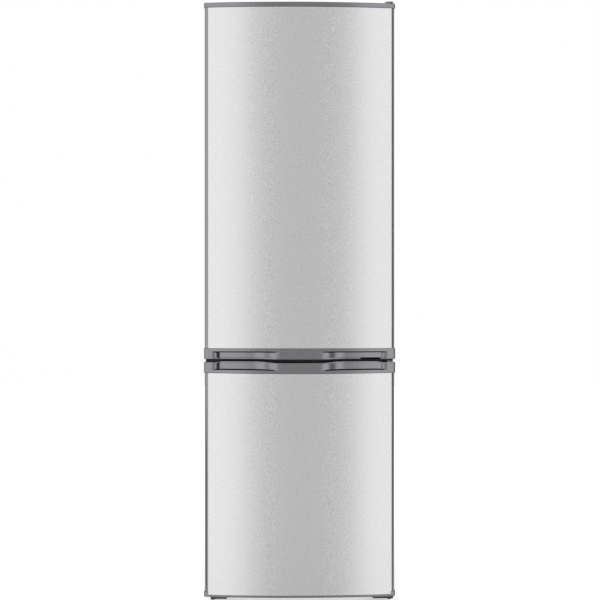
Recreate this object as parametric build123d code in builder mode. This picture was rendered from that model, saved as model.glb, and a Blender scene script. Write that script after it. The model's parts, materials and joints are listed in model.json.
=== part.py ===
"""Two-door fridge-freezer with bowed doors, built piece by piece in millimetres.

X runs to the right, Y to the back and Z up. The origin is on the floor, in the middle of the
overall width and depth. The doors face -Y and hang on the right-hand side.
"""
import os
from math import cos, radians, sqrt

from build123d import *

os.makedirs("parts", exist_ok=True)

# Cabinet
cabinet_width = 545.0
cabinet_depth = 472.0
rear_stand_off = 32.0
base_z = 36.0
top_step = 2.5
case_sheet = 1.0
case_corner = 6.0
case_flange = 20.0
base_sheet = 1.2
base_lip = 14.0
panel_sheet = 1.0
panel_margin = 4.0
panel_fit = 0.4

# Door stack, from the floor up
door_bottom = 22.0
bottom_cap_height = 7.0
lower_skin_height = 632.5
lower_handle_height = 36.5
door_gap = 6.0
upper_handle_height = 31.0
upper_skin_height = 975.5
top_cap_height = 14.0

# Door section
door_bow = 18.0
door_edge_depth = 46.5
cap_proud = 1.5
cap_flare = 2.0
cap_corner = 5.0
cap_edge_round = 3.0
foot_cap_round = 5.0
foot_cap_rise = 9.0
spigot_length = 10.0
skin_sheet = 1.0
skin_return = 12.0
side_trim_width = 10.0
side_trim_wall = 2.0
side_trim_proud = 1.2
side_trim_corner = 4.0
door_liner_wall = 2.0
door_liner_margin = 3.0
fit_gap = 0.2

# Recessed grip in the two handle trims
plateau_half = 46.0
ramp_length = 92.0
end_block = 30.0
end_wall = 20.0
end_wall_lean = 8.0
end_wall_overrun = 1.0
ramp_overrun = 0.3
groove_inset = 2.0
lip_inset = 6.0
recess_depth = 9.0
lip_proud = 3.0
groove_depth = 3.0
groove_height = 2.6
upper_band = 9.0
upper_lip = 4.5
upper_dip = 2.6
lower_band = 10.5
lower_lip = 3.5
lower_dip = 6.3
hinge_notch_length = 57.0
hinge_notch_offset = 28.0
hinge_notch_depth = 26.0

# Gaskets and the raised frame of the inner doors
gasket_depth = 10.0
gasket_clearance = 0.3
gasket_side_inset = 17.5
gasket_end_inset = 9.0
gasket_foot_inset = 30.0
gasket_base_width = 16.0
gasket_neck_width = 7.0
gasket_head_width = 13.0
gasket_base_height = 3.0
gasket_neck_height = 2.7
ring_clearance = 21.5
ring_width = 18.0
ring_corner = 24.0
fridge_ring_depth = 62.0
freezer_ring_depth = 25.0

# Hinges
hinge_inset = 13.5
hinge_setback = 22.0
pin_radius = 4.0
pin_fit = 0.05
pin_reach = 17.0
bush_wall = 2.5
bush_fit = 0.1
bush_flange_width = 2.5
bush_flange = 1.0
hinge_eye = 11.0
pin_end_gap = 1.0
top_plate = 2.5
top_plate_width = 72.0
top_plate_length = 84.0
tongue = 3.0
middle_plate = 3.0
middle_plate_width = 84.0
middle_plate_height = 26.0
hole_cover = 7.0
hole_cover_length = 60.0
hole_cover_height = 18.0
bottom_plate = 4.0
bottom_plate_drop = 2.0
bracket_width = 74.0
bracket_length = 66.0
bracket_tongue = 59.0
left_tongue = 47.0
left_tongue_outer = 256.0
left_bolt_x = 249.5
bracket_lip = 2.0
bracket_lip_drop = 2.0
pin_nut_radius = 7.0
pin_nut_height = 5.5
screw_head_radius = 5.0
screw_head_height = 2.2
screw_shank_radius = 2.3
screw_hole_fit = 0.2
cover_rise = 6.2
cover_wall = 1.3
cover_nose_radius = 13.0
cover_corner = 6.0
cover_round = 2.6

# Feet, rollers and front rail
rail_depth = 28.0
rail_sheet = 1.5
rail_setback = 3.0
rail_margin = 8.0
foot_inset = 42.5
foot_setback = 39.0
foot_radius = 22.0
foot_height = 8.0
foot_collar_radius = 11.0
foot_collar_height = 5.0
nut_radius = 7.8
nut_height = 5.0
stud_radius = 5.0
stud_fit = 0.08
roller_radius = 13.0
roller_width = 16.0
roller_inset = 48.0
roller_setback = 44.0
roller_side_gap = 0.6
roller_cheek = 2.0
roller_cheek_length = 30.0
roller_cheek_ground = 5.0
axle_radius = 3.0

# Compartments
liner_wall = 2.0
liner_corner = 16.0
fridge_side_wall = 45.0
fridge_rear_wall = 62.0
fridge_top_wall = 47.0
divider_above = 36.0
divider_below = 38.0
divider_face = 34.0
freezer_side_wall = 60.0
freezer_rear_wall = 72.0
freezer_floor_wall = 59.0
rail_channel_depth = 12.0
rail_channel_sheet = 1.5

# Compressor niche
niche_depth = 178.0
niche_front_height = 194.0
niche_rear_height = 264.0
niche_wall = 60.0
step_height = 230.0

# Shelves and fridge fittings
shelf_count = 3
crisper_cover_height = 190.0
shelf_side_gap = 1.5
shelf_setback = 120.0
shelf_rear_gap = 6.0
glass_thickness = 4.0
rib_width = 7.0
rib_height = 8.0
trim_wall = 2.0
trim_reach = 12.0
trim_nose = 5.0
trim_upstand = 10.0
tub_wall = 2.2
tub_draft = 3.0
tub_corner = 14.0
crisper_side_gap = 14.0
crisper_top_gap = 10.0
pull_width = 130.0
pull_depth = 13.0
pull_height = 16.0
pull_wall = 3.0

# Control housing with lamp, knob and door switch
housing_thickness = 40.0
housing_length = 150.0
housing_height = 150.0
housing_drop = 30.0
housing_round = 8.0
housing_back_gap = 14.0
lamp_length = 70.0
lamp_height = 100.0
lamp_depth = 9.0
lamp_margin = 14.0
lamp_fit = 0.2
lamp_rib = 3.0
lamp_ribs = 7
knob_radius = 17.0
knob_length = 14.0
knob_grip = 4.0
knob_gap = 0.4
knob_shaft_radius = 3.0
knob_shaft_length = 12.0
knob_margin = 32.0
switch_radius = 4.0
switch_fit = 0.08
switch_travel = 6.0
switch_stem = 14.0
switch_drop = 34.0

# Door bins
bin_heights = (110.0, 62.0, 62.0)
bin_spacing = 300.0
bin_depth = 92.0
bin_rim = 3.0
bin_lug = 4.5
bin_lug_height = 7.0
bin_side_gap = 0.3
bin_front_rise = 14.0

# Freezer fittings
evaporator_tube_radius = 4.0
evaporator_passes = 6
evaporator_wires = 11
evaporator_wire = 2.0
evaporator_side_gap = 4.0
evaporator_front_gap = 52.0
evaporator_pitch = 56.0
drawer_side_gap = 7.0
drawer_setback = 34.0
drawer_rear_gap = 10.0
drawer_top_gap = 14.0
drawer_front_panel = 3.0
freezer_rib_width = 18.0

# Machine space
compressor_x = 40.0
compressor_setback = 92.0
compressor_length = 150.0
compressor_breadth = 116.0
compressor_height = 132.0
compressor_low_round = 16.0
compressor_dome_round = 34.0
weld_flange = 4.0
weld_flange_height = 5.0
weld_flange_level = 62.0
mount_plate = 3.0
mount_length = 150.0
mount_breadth = 104.0
mount_eye = 15.0
grommet_radius = 11.0
grommet_height = 14.0
grommet_neck_radius = 6.0
grommet_cap_radius = 9.0
grommet_cap_height = 4.0
grommet_fit = 0.2
relay_length = 40.0
relay_breadth = 66.0
relay_height = 74.0
relay_level = 30.0
relay_round = 5.0
relay_fit = 0.3
stub_radius = 5.0
stub_length = 16.0
stub_spacing = 34.0
stub_level = 96.0
tray_length = 190.0
tray_breadth = 118.0
tray_height = 26.0
tray_wall = 2.0
tray_corner = 16.0
pipe_radius = 2.5
pipe_fit = 0.1
pipe_bend = 12.0
pipe_side_gap = 10.0
capillary_radius = 1.2
drier_radius = 9.0
drier_length = 90.0
drier_cone = 14.0
drier_level = 80.0
drier_setback = 46.0

# Condenser, with the eight-sided section that stands for every small tube
tube_sides = 8
condenser_half = 225.0
condenser_passes = 12
condenser_pitch = 92.0
condenser_level = 400.0
condenser_gap = 16.0
condenser_wires = 17
condenser_wire = 1.8
condenser_wire_overhang = 18.0
clip_width = 8.0
clip_height = 24.0
clip_fit = 0.15
clip_wire_steps = 0.5

# Levels and planes worked out from the sizes above
tube_turn = 180 / tube_sides
tube_flat = cos(radians(tube_turn))
lower_skin_bottom = door_bottom + bottom_cap_height
lower_handle_bottom = lower_skin_bottom + lower_skin_height
lower_door_top = lower_handle_bottom + lower_handle_height
upper_door_bottom = lower_door_top + door_gap
upper_skin_bottom = upper_door_bottom + upper_handle_height
top_cap_bottom = upper_skin_bottom + upper_skin_height
upper_door_top = top_cap_bottom + top_cap_height
cabinet_top = upper_door_top + top_step

overall_depth = cap_proud + door_bow + door_edge_depth + gasket_depth + cabinet_depth + rear_stand_off
apex_y = cap_proud - overall_depth / 2
edge_y = apex_y + door_bow
door_back_y = edge_y + door_edge_depth
front_y = door_back_y + gasket_depth
back_y = front_y + cabinet_depth
rear_y = back_y + rear_stand_off

half_width = cabinet_width / 2
case_half = half_width - case_sheet
bow_radius = (half_width**2 + door_bow**2) / (2 * door_bow)
trim_inner_half = half_width - side_trim_wall
skin_half = trim_inner_half - fit_gap
foam_half = skin_half - skin_sheet
cap_half = half_width + cap_flare
cap_back_y = door_back_y - door_liner_wall

hinge_x = half_width - hinge_inset
hinge_y = edge_y + hinge_setback
bush_radius = pin_radius + pin_fit + bush_wall
tongue_bottom = (lower_door_top + upper_door_bottom - tongue) / 2
bottom_plate_top = door_bottom - bottom_plate_drop
bottom_plate_bottom = bottom_plate_top - bottom_plate

fridge_half = half_width - fridge_side_wall
fridge_floor = upper_door_bottom + divider_above
fridge_ceiling = cabinet_top - fridge_top_wall
fridge_back_y = back_y - fridge_rear_wall
freezer_half = half_width - freezer_side_wall
freezer_floor = base_z + freezer_floor_wall
freezer_ceiling = lower_door_top - divider_below
freezer_back_y = back_y - freezer_rear_wall
step_top = freezer_floor + step_height
step_front_y = back_y - niche_depth - niche_wall
niche_front_y = back_y - niche_depth
pan_top = base_z + base_sheet

fridge_ring_half = fridge_half - ring_clearance
freezer_ring_half = freezer_half - ring_clearance
bin_space_half = fridge_ring_half - ring_width
ring_back_y = door_back_y + fridge_ring_depth
lowest_bin_seat = fridge_floor + ring_clearance + ring_width + bin_side_gap + bin_heights[0]
bin_seats = [lowest_bin_seat + bin_spacing * number for number in range(len(bin_heights))]

foot_x = half_width - foot_inset
foot_y = front_y + foot_setback
roller_x = half_width - roller_inset
roller_y = back_y - roller_setback

crisper_cover_z = fridge_floor + crisper_cover_height
shelf_spacing = (fridge_ceiling - housing_drop - crisper_cover_z) / (shelf_count + 1)
shelf_levels = [crisper_cover_z + shelf_spacing * (number + 1) for number in range(shelf_count)]
shelf_front_y = front_y + shelf_setback
shelf_back_y = fridge_back_y - shelf_rear_gap


def both_ways(half):
    """Limits the same distance either side of the middle."""
    return (-half, half)


def block(x_span, y_span, z_span, mode=Mode.ADD):
    """Straight block between two limits on each axis."""
    spans = (x_span, y_span, z_span)
    with Locations(tuple(sum(span) / 2 for span in spans)):
        Box(*(span[1] - span[0] for span in spans), mode=mode)


def post(x, y, z_span, radius, mode=Mode.ADD):
    """Upright round post between two heights."""
    with Locations((x, y, sum(z_span) / 2)):
        Cylinder(radius, z_span[1] - z_span[0], mode=mode)


def front_plane(y):
    """Upright plane seen from the front, drawn in X and Z."""
    return Plane.XZ.offset(-y)


def bow_y(x, stand_off=0.0):
    """Y of the bowed door front at x, moved forward by the stand-off."""
    radius = bow_radius + stand_off
    return apex_y + bow_radius - sqrt(radius**2 - x**2)


def save(part, node_name):
    """Name a finished piece and write it to its own file."""
    part.label = node_name
    export_step(part, f"parts/{node_name}.step")


def door_plan(z, half, stand_off, back, corner=0.0):
    """Door outline seen from above: flat back, straight sides and bowed front."""
    side_y = bow_y(half, stand_off)
    with BuildSketch(Plane.XY.offset(z)) as plan:
        with BuildLine():
            Polyline((half, side_y), (half, back), (-half, back), (-half, side_y))
            ThreePointArc((-half, side_y), (0, bow_y(0, stand_off)), (half, side_y))
        make_face()
        if corner:
            fillet(plan.vertices().group_by(Axis.Y)[0], corner)
    return plan.sketch


# Doors: pieces that both doors have


def door_skin(z_span):
    """Bowed metal sheet with a short return along each side edge."""
    height = z_span[1] - z_span[0]
    with BuildPart() as skin:
        extrude(door_plan(z_span[0], skin_half, 0, edge_y + skin_return), amount=height)
        inside = door_plan(z_span[0], foam_half, -skin_sheet, door_back_y)
        extrude(inside, amount=height, mode=Mode.SUBTRACT)
    return skin.part


def door_side_trims(z_span):
    """Pair of plastic side profiles whose front lips cover the edges of the sheet."""
    height = z_span[1] - z_span[0]
    with BuildPart() as trims:
        outside = door_plan(z_span[0], half_width, side_trim_proud, cap_back_y, side_trim_corner)
        extrude(outside, amount=height)
        inside = door_plan(z_span[0], trim_inner_half, 0, door_back_y)
        extrude(inside, amount=height, mode=Mode.SUBTRACT)
        block(both_ways(half_width - side_trim_width), (2 * apex_y, 0), z_span, Mode.SUBTRACT)
    return trims.part


def door_ring(ring_half, z_span, inset, y_span, mode):
    """Raised rectangular frame on the inner door, drawn in by an inset on every side."""
    middle = sum(z_span) / 2
    tall = z_span[1] - z_span[0]
    with BuildSketch(front_plane(y_span[0])) as frame:
        with Locations((0, middle)):
            RectangleRounded(2 * (ring_half - inset), tall - 2 * inset, ring_corner - inset)
            hole = inset - ring_width
            hole_corner = ring_corner - ring_width - inset / 2
            RectangleRounded(2 * (ring_half + hole), tall + 2 * hole, hole_corner, mode=Mode.SUBTRACT)
    extrude(frame.sketch, amount=y_span[0] - y_span[1], mode=mode)


def door_foam(z_span, ring_half, ring_span, ring_depth):
    """Insulation core that fills the door and its raised frame."""
    with BuildPart() as foam:
        core = door_plan(z_span[0], foam_half, -skin_sheet, cap_back_y)
        extrude(core, amount=z_span[1] - z_span[0])
        tip = door_back_y + ring_depth - door_liner_wall
        door_ring(ring_half, ring_span, door_liner_wall, (cap_back_y, tip), Mode.ADD)
    return foam.part


def door_liner(z_span, ring_half, ring_span, ring_depth, lug_levels):
    """Thermoformed inner door with its raised frame and the lugs that carry bins."""
    inner_half = ring_half - ring_width
    ring_tip = door_back_y + ring_depth
    with BuildPart() as liner:
        block(both_ways(half_width - door_liner_margin), (cap_back_y, door_back_y), z_span)
        door_ring(ring_half, ring_span, 0, (cap_back_y, ring_tip), Mode.ADD)
        hollow_tip = ring_tip - door_liner_wall
        door_ring(ring_half, ring_span, door_liner_wall, (cap_back_y, hollow_tip), Mode.SUBTRACT)
        for level in lug_levels:
            lug_z = (level - bin_lug_height, level)
            lug_y = (door_back_y, ring_tip - ring_width)
            block((inner_half - bin_lug, inner_half), lug_y, lug_z)
            block((-inner_half, bin_lug - inner_half), lug_y, lug_z)
    return liner.part


def door_gasket(z_span):
    """Magnetic seal: flat base on the inner door, narrow bellows and magnet head."""
    outer_half = half_width - gasket_side_inset
    middle = sum(z_span) / 2
    tall = z_span[1] - z_span[0]
    base_y = door_back_y
    neck_y = base_y + gasket_base_height
    head_y = neck_y + gasket_neck_height
    tip_y = front_y - gasket_clearance
    layers = (
        (gasket_base_width, base_y, neck_y),
        (gasket_neck_width, neck_y, head_y),
        (gasket_head_width, head_y, tip_y),
    )
    with BuildPart() as gasket:
        for width, start, end in layers:
            inset = (gasket_base_width - width) / 2
            with BuildSketch(front_plane(start)):
                with Locations((0, middle)):
                    Rectangle(2 * (outer_half - inset), tall - 2 * inset)
                    inner = inset + width
                    Rectangle(2 * (outer_half - inner), tall - 2 * inner, mode=Mode.SUBTRACT)
            extrude(amount=start - end)
    return gasket.part


def door_bushes(low_face, high_face):
    """Flanged plastic sleeves in the lower and upper end of a door."""
    flange_radius = bush_radius + bush_flange_width
    with BuildPart() as bushes:
        for face, inward in ((low_face, 1), (high_face, -1)):
            sleeve = sorted((face, face + inward * pin_reach))
            flange = sorted((face - inward * bush_flange, face))
            bore = sorted((face - inward * bush_flange, face + inward * pin_reach))
            post(hinge_x, hinge_y, sleeve, bush_radius)
            post(hinge_x, hinge_y, flange, flange_radius)
            post(hinge_x, hinge_y, bore, pin_radius + pin_fit, Mode.SUBTRACT)
    return bushes.part


def spigot(z):
    """Outline of the part of an end cap that plugs into the door."""
    reach = skin_sheet + fit_gap
    return door_plan(z, foam_half - fit_gap, -reach, cap_back_y - fit_gap)


def end_cap(z_span, spigot_up, bush_face, rim_round, end_rise=0.0):
    """Plain end cap: rounded rim, spigot into the door and hinge bush hole."""
    height = z_span[1] - z_span[0]
    with BuildPart() as cap:
        plan = door_plan(z_span[0], cap_half, cap_proud, cap_back_y, cap_corner)
        extrude(plan, amount=height + end_rise)
        if end_rise:
            # Only the two ends stand up beside the door sheet
            inside = door_plan(z_span[1], trim_inner_half, 0, door_back_y)
            extrude(inside, amount=end_rise, mode=Mode.SUBTRACT)
            open_z = (z_span[1], z_span[1] + end_rise)
            block(both_ways(half_width - side_trim_width), (2 * apex_y, 0), open_z, Mode.SUBTRACT)
        rim = cap.faces().sort_by(Axis.Z)[0 if spigot_up else -1]
        fillet(rim.edges().sort_by(Axis.Y)[:-1], rim_round)
        plug_z = z_span[1] if spigot_up else z_span[0] - spigot_length
        extrude(spigot(plug_z), amount=spigot_length)
        hole = sorted((bush_face, bush_face + (pin_reach if spigot_up else -pin_reach)))
        post(hinge_x, hinge_y, hole, bush_radius + bush_fit, Mode.SUBTRACT)
    return cap.part


def recess_plan(z, depth, inset=0.0):
    """Hollows left and right of the flush middle of a handle trim, seen from above."""
    floor = cap_proud - depth
    ramp_start = plateau_half + inset
    ramp_end = plateau_half + ramp_length
    ramp_mid = plateau_half + ramp_length / 2
    wall_out = cap_half - end_block - inset
    wall_in = wall_out - end_wall
    run_mid = (ramp_end + wall_in) / 2
    ahead = apex_y - door_bow
    # The curves of ramp and end wall run on past the front, so that they leave it at a clear angle
    wall_y = bow_y(wall_out, cap_proud + end_wall_overrun)
    ramp_y = bow_y(ramp_start, cap_proud + ramp_overrun)
    with BuildSketch(Plane.XY.offset(z)) as plan:
        with BuildLine():
            Polyline((ramp_start, ramp_y), (ramp_start, ahead), (wall_out, ahead), (wall_out, wall_y))
            Bezier(
                (ramp_start, ramp_y),
                (ramp_mid, bow_y(ramp_mid, cap_proud)),
                (ramp_mid, bow_y(ramp_mid, floor)),
                (ramp_end, bow_y(ramp_end, floor)),
            )
            ThreePointArc(
                (ramp_end, bow_y(ramp_end, floor)),
                (run_mid, bow_y(run_mid, floor)),
                (wall_in, bow_y(wall_in, floor)),
            )
            Bezier(
                (wall_in, bow_y(wall_in, floor)),
                (wall_in + end_wall_lean, bow_y(wall_in, floor)),
                (wall_out - end_wall_lean, wall_y + end_wall_lean),
                (wall_out, wall_y),
            )
        make_face()
        mirror(about=Plane.YZ)
    return plan.sketch


def handle_front(side_z, plain_z, dip, corner):
    """Handle trim seen from the front: one edge runs straight, the other waves in the middle."""
    ramp_end = plateau_half + ramp_length
    ramp_mid = plateau_half + ramp_length / 2
    dip_z = side_z - dip
    with BuildSketch(front_plane(apex_y - door_bow)) as outline:
        with BuildLine():
            Polyline((-ramp_end, side_z), (-cap_half, side_z), (-cap_half, plain_z))
            Polyline((-cap_half, plain_z), (cap_half, plain_z), (cap_half, side_z), (ramp_end, side_z))
            Bezier((ramp_end, side_z), (ramp_mid, side_z), (ramp_mid, dip_z), (plateau_half, dip_z))
            Line((plateau_half, dip_z), (-plateau_half, dip_z))
            Bezier((-plateau_half, dip_z), (-ramp_mid, dip_z), (-ramp_mid, side_z), (-ramp_end, side_z))
        make_face()
        side_corners = [v for v in outline.vertices() if abs(v.X) > cap_half - fit_gap]
        fillet([v for v in side_corners if abs(v.Y - side_z) < fit_gap], corner)
    return outline.sketch


def handle_trim(z_span, edge_up, band, lip, dip):
    """End cap with the recessed grip; edge_up tells whether the grip edge is its top."""
    edge_z = z_span[1] if edge_up else z_span[0]
    plain_z = z_span[0] if edge_up else z_span[1]
    inward = -1 if edge_up else 1
    band_z = plain_z - inward * band
    lip_z = edge_z + inward * lip
    lowest = min(edge_z - dip, z_span[0])
    with BuildPart() as trim:
        extrude(door_plan(lowest, cap_half, cap_proud, cap_back_y, cap_corner), amount=z_span[1] - lowest)
        outline = handle_front(edge_z, plain_z, dip, cap_edge_round)
        extrude(outline, amount=2 * apex_y, both=True, mode=Mode.INTERSECT)
        panel_z = sorted((band_z, lip_z))
        panel = recess_plan(panel_z[0], recess_depth)
        extrude(panel, amount=panel_z[1] - panel_z[0], mode=Mode.SUBTRACT)
        groove_z = min(band_z, band_z - inward * groove_height)
        groove = recess_plan(groove_z, recess_depth + groove_depth, groove_inset)
        extrude(groove, amount=groove_height, mode=Mode.SUBTRACT)
        edge_zone = sorted((lip_z, edge_z))
        lip_cut = recess_plan(edge_zone[0], recess_depth - lip_proud, lip_inset)
        extrude(lip_cut, amount=edge_zone[1] - edge_zone[0], mode=Mode.SUBTRACT)
        plug_z = plain_z if inward > 0 else plain_z - spigot_length
        extrude(spigot(plug_z), amount=spigot_length)
        hole = sorted((edge_z, edge_z + inward * pin_reach))
        post(hinge_x, hinge_y, hole, bush_radius + bush_fit, Mode.SUBTRACT)
    return trim.part


# Upper door
upper_skin_span = (upper_skin_bottom, top_cap_bottom)
upper_core_span = (upper_skin_bottom + spigot_length, top_cap_bottom - spigot_length)
upper_liner_span = (upper_door_bottom + door_liner_margin, upper_door_top - door_liner_margin)
upper_ring_span = (fridge_floor + ring_clearance, fridge_ceiling - ring_clearance)
upper_gasket_span = (upper_door_bottom + gasket_end_inset, upper_door_top - gasket_end_inset)

save(door_skin(upper_skin_span), "upper_door_skin")
save(door_side_trims(upper_skin_span), "upper_door_side_trims")
save(
    door_foam(upper_core_span, fridge_ring_half, upper_ring_span, fridge_ring_depth),
    "upper_door_foam",
)
save(
    door_liner(upper_liner_span, fridge_ring_half, upper_ring_span, fridge_ring_depth, bin_seats),
    "upper_door_liner",
)
save(door_gasket(upper_gasket_span), "upper_door_gasket")
save(door_bushes(upper_door_bottom, upper_door_top), "upper_door_bushes")
top_cap_span = (top_cap_bottom, upper_door_top)
save(end_cap(top_cap_span, False, upper_door_top, cap_edge_round), "upper_door_top_cap")

upper_handle_span = (upper_door_bottom, upper_skin_bottom)
upper_trim = handle_trim(upper_handle_span, False, upper_band, upper_lip, upper_dip)
with BuildPart() as upper_door_handle:
    add(upper_trim)
    # Cut-away of the lip in front of the arm of the middle hinge
    notch_right = hinge_x - hinge_notch_offset
    notch_y = bow_y(notch_right, cap_proud)
    block(
        (notch_right - hinge_notch_length, notch_right),
        (notch_y - door_bow, notch_y + hinge_notch_depth),
        (upper_door_bottom - upper_lip, upper_door_bottom + upper_lip),
        Mode.SUBTRACT,
    )
save(upper_door_handle.part, "upper_door_handle")


def drafted_tub(half, y_span, z_span):
    """Open-topped moulded tub, widest at its rim, with even walls and leaning sides."""
    middle_y = sum(y_span) / 2
    tall = z_span[1] - z_span[0]
    rim_plane = Plane(origin=(0, middle_y, z_span[1]), x_dir=(1, 0, 0), z_dir=(0, 0, -1))
    for inset, amount, mode in ((0.0, tall, Mode.ADD), (tub_wall, tall - tub_wall, Mode.SUBTRACT)):
        with BuildSketch(rim_plane) as rim:
            deep = y_span[1] - y_span[0] - 2 * inset
            RectangleRounded(2 * (half - inset), deep, tub_corner - inset)
        extrude(rim.sketch, amount=amount, dir=(0, 0, -1), taper=tub_draft, mode=mode)


def door_bin(seat, height):
    """Door bin: drafted tub that hangs by its side rims on the lugs of the inner door."""
    rim_half = bin_space_half - bin_side_gap
    tub_half = bin_space_half - bin_lug - bin_side_gap
    near_y = door_back_y + bin_side_gap
    far_y = near_y + bin_depth
    rim_top = seat + bin_rim
    with BuildPart() as tub:
        drafted_tub(tub_half, (near_y, far_y), (seat - height, rim_top))
        rim_y = (near_y + tub_corner, ring_back_y - ring_width)
        block((tub_half - tub_wall, rim_half), rim_y, (seat, rim_top))
        block((-rim_half, tub_wall - tub_half), rim_y, (seat, rim_top))
        rail_half = tub_half - tub_corner
        rail_height = bin_rim + bin_front_rise
        with BuildSketch(front_plane(far_y)) as rail:
            with Locations((0, seat + rail_height / 2)):
                Rectangle(2 * rail_half, rail_height)
            fillet(rail.vertices().group_by(Axis.Y)[-1], bin_front_rise)
        extrude(amount=tub_wall)
    return tub.part


for bin_number, (seat, bin_height) in enumerate(zip(bin_seats, bin_heights), start=1):
    save(door_bin(seat, bin_height), f"door_bin_{bin_number}")

# Lower door
lower_skin_span = (lower_skin_bottom, lower_handle_bottom)
lower_core_span = (lower_skin_bottom + spigot_length, lower_handle_bottom - spigot_length)
lower_liner_span = (door_bottom + door_liner_margin, lower_door_top - lower_dip - door_liner_margin)
lower_ring_span = (freezer_floor + ring_clearance, freezer_ceiling - ring_clearance)
lower_gasket_span = (door_bottom + gasket_foot_inset, lower_door_top - gasket_end_inset)

save(door_skin(lower_skin_span), "lower_door_skin")
lower_side_span = (lower_skin_bottom + foot_cap_rise, lower_handle_bottom)
save(door_side_trims(lower_side_span), "lower_door_side_trims")
save(
    door_foam(lower_core_span, freezer_ring_half, lower_ring_span, freezer_ring_depth),
    "lower_door_foam",
)
save(
    door_liner(lower_liner_span, freezer_ring_half, lower_ring_span, freezer_ring_depth, ()),
    "lower_door_liner",
)
save(door_gasket(lower_gasket_span), "lower_door_gasket")
save(door_bushes(door_bottom, lower_door_top), "lower_door_bushes")
foot_cap_span = (door_bottom, lower_skin_bottom)
save(
    end_cap(foot_cap_span, True, door_bottom, foot_cap_round, foot_cap_rise),
    "lower_door_bottom_cap",
)
lower_handle_span = (lower_handle_bottom, lower_door_top)
save(
    handle_trim(lower_handle_span, True, lower_band, lower_lip, lower_dip),
    "lower_door_handle",
)

# Cabinet shell and insulation
case_back_y = back_y - panel_sheet
foam_front_y = front_y + liner_wall
foam_back_y = case_back_y - case_sheet
frame_half = half_width - case_flange - fit_gap
divider_middle = (lower_door_top + upper_door_bottom) / 2
divider_span = (divider_middle - divider_face / 2, divider_middle + divider_face / 2)
niche_rear_z = pan_top + niche_rear_height
niche_front_z = pan_top + niche_front_height


def case_section(y, inset, bottom):
    """Cabinet seen from the front, with rounded top corners, drawn in by an inset."""
    tall = cabinet_top - inset - bottom
    with BuildSketch(front_plane(y)) as section:
        with Locations((0, bottom + tall / 2)):
            Rectangle(2 * (half_width - inset), tall)
        fillet(section.vertices().group_by(Axis.Y)[-1], case_corner - inset)
    return section.sketch


def freezer_profile(half, grow):
    """Freezer space seen from the side, with its step over the machine space."""
    floor = freezer_floor - grow
    step = step_top - grow
    ceiling = freezer_ceiling + grow
    rear = freezer_back_y + grow
    riser = step_front_y + grow
    with BuildSketch(Plane.YZ.offset(-half)) as side:
        with BuildLine():
            Polyline(
                (front_y, floor),
                (riser, floor),
                (riser, step),
                (rear, step),
                (rear, ceiling),
                (front_y, ceiling),
                close=True,
            )
        make_face()
    return side.sketch


def niche_profile(half, grow):
    """Machine space seen from the side, with its sloping roof."""
    with BuildSketch(Plane.YZ.offset(-half)) as side:
        with BuildLine():
            Polyline(
                (rear_y, niche_rear_z + grow),
                (back_y, niche_rear_z + grow),
                (niche_front_y - grow, niche_front_z + grow),
                (niche_front_y - grow, 0),
                (rear_y, 0),
                close=True,
            )
        make_face()
    return side.sketch


with BuildPart() as outer_case:
    extrude(case_section(front_y, 0, base_z), amount=front_y - case_back_y)
    hollow_y = front_y + case_sheet
    hollow = case_section(hollow_y, case_sheet, 0)
    extrude(hollow, amount=hollow_y - foam_back_y, mode=Mode.SUBTRACT)
    open_half = half_width - case_flange
    block(both_ways(open_half), (apex_y, rear_y), (0, cabinet_top - case_flange), Mode.SUBTRACT)
    # The rear flanges stop above the machine space
    block(both_ways(case_half), (foam_back_y, rear_y), (0, niche_rear_z + panel_margin), Mode.SUBTRACT)
save(outer_case.part, "outer_case")

with BuildPart() as back_panel:
    with BuildSketch(Plane.YZ.offset(panel_margin - half_width)):
        with BuildLine():
            Polyline(
                (back_y, cabinet_top - panel_margin),
                (back_y, niche_rear_z),
                (niche_front_y, niche_front_z),
                (niche_front_y, pan_top),
            )
            offset(amount=panel_sheet, side=Side.RIGHT, kind=Kind.INTERSECTION)
        make_face()
    extrude(amount=2 * (half_width - panel_margin))
save(back_panel.part, "back_panel")

with BuildPart() as cabinet_foam:
    foam_section = case_section(foam_front_y, case_sheet, pan_top)
    extrude(foam_section, amount=foam_front_y - foam_back_y)
    fridge_outer_z = (fridge_floor - liner_wall, fridge_ceiling + liner_wall)
    fridge_outer_y = (front_y, fridge_back_y + liner_wall)
    block(both_ways(fridge_half + liner_wall), fridge_outer_y, fridge_outer_z, Mode.SUBTRACT)
    freezer_outer_half = freezer_half + liner_wall
    freezer_outer = freezer_profile(freezer_outer_half, liner_wall)
    extrude(freezer_outer, amount=2 * freezer_outer_half, mode=Mode.SUBTRACT)
    niche = niche_profile(half_width, panel_sheet + panel_fit)
    extrude(niche, amount=cabinet_width, mode=Mode.SUBTRACT)
    rail_space_y = (front_y, front_y + rail_channel_depth)
    block(both_ways(frame_half), rail_space_y, divider_span, Mode.SUBTRACT)
save(cabinet_foam.part, "cabinet_foam")

with BuildPart() as fridge_liner:
    block(both_ways(fridge_half + liner_wall), fridge_outer_y, fridge_outer_z)
    flange_top = cabinet_top - case_flange - fit_gap
    block(both_ways(frame_half), (front_y, foam_front_y), (divider_span[1] + fit_gap, flange_top))
    with BuildSketch(front_plane(front_y)):
        with Locations((0, (fridge_floor + fridge_ceiling) / 2)):
            RectangleRounded(2 * fridge_half, fridge_ceiling - fridge_floor, liner_corner)
    extrude(amount=front_y - fridge_back_y, mode=Mode.SUBTRACT)
    for level in [crisper_cover_z, *shelf_levels]:
        rib_z = (level - rib_height, level)
        block((fridge_half - rib_width, fridge_half), (shelf_front_y, fridge_back_y), rib_z)
        block((-fridge_half, rib_width - fridge_half), (shelf_front_y, fridge_back_y), rib_z)
save(fridge_liner.part, "fridge_liner")

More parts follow.
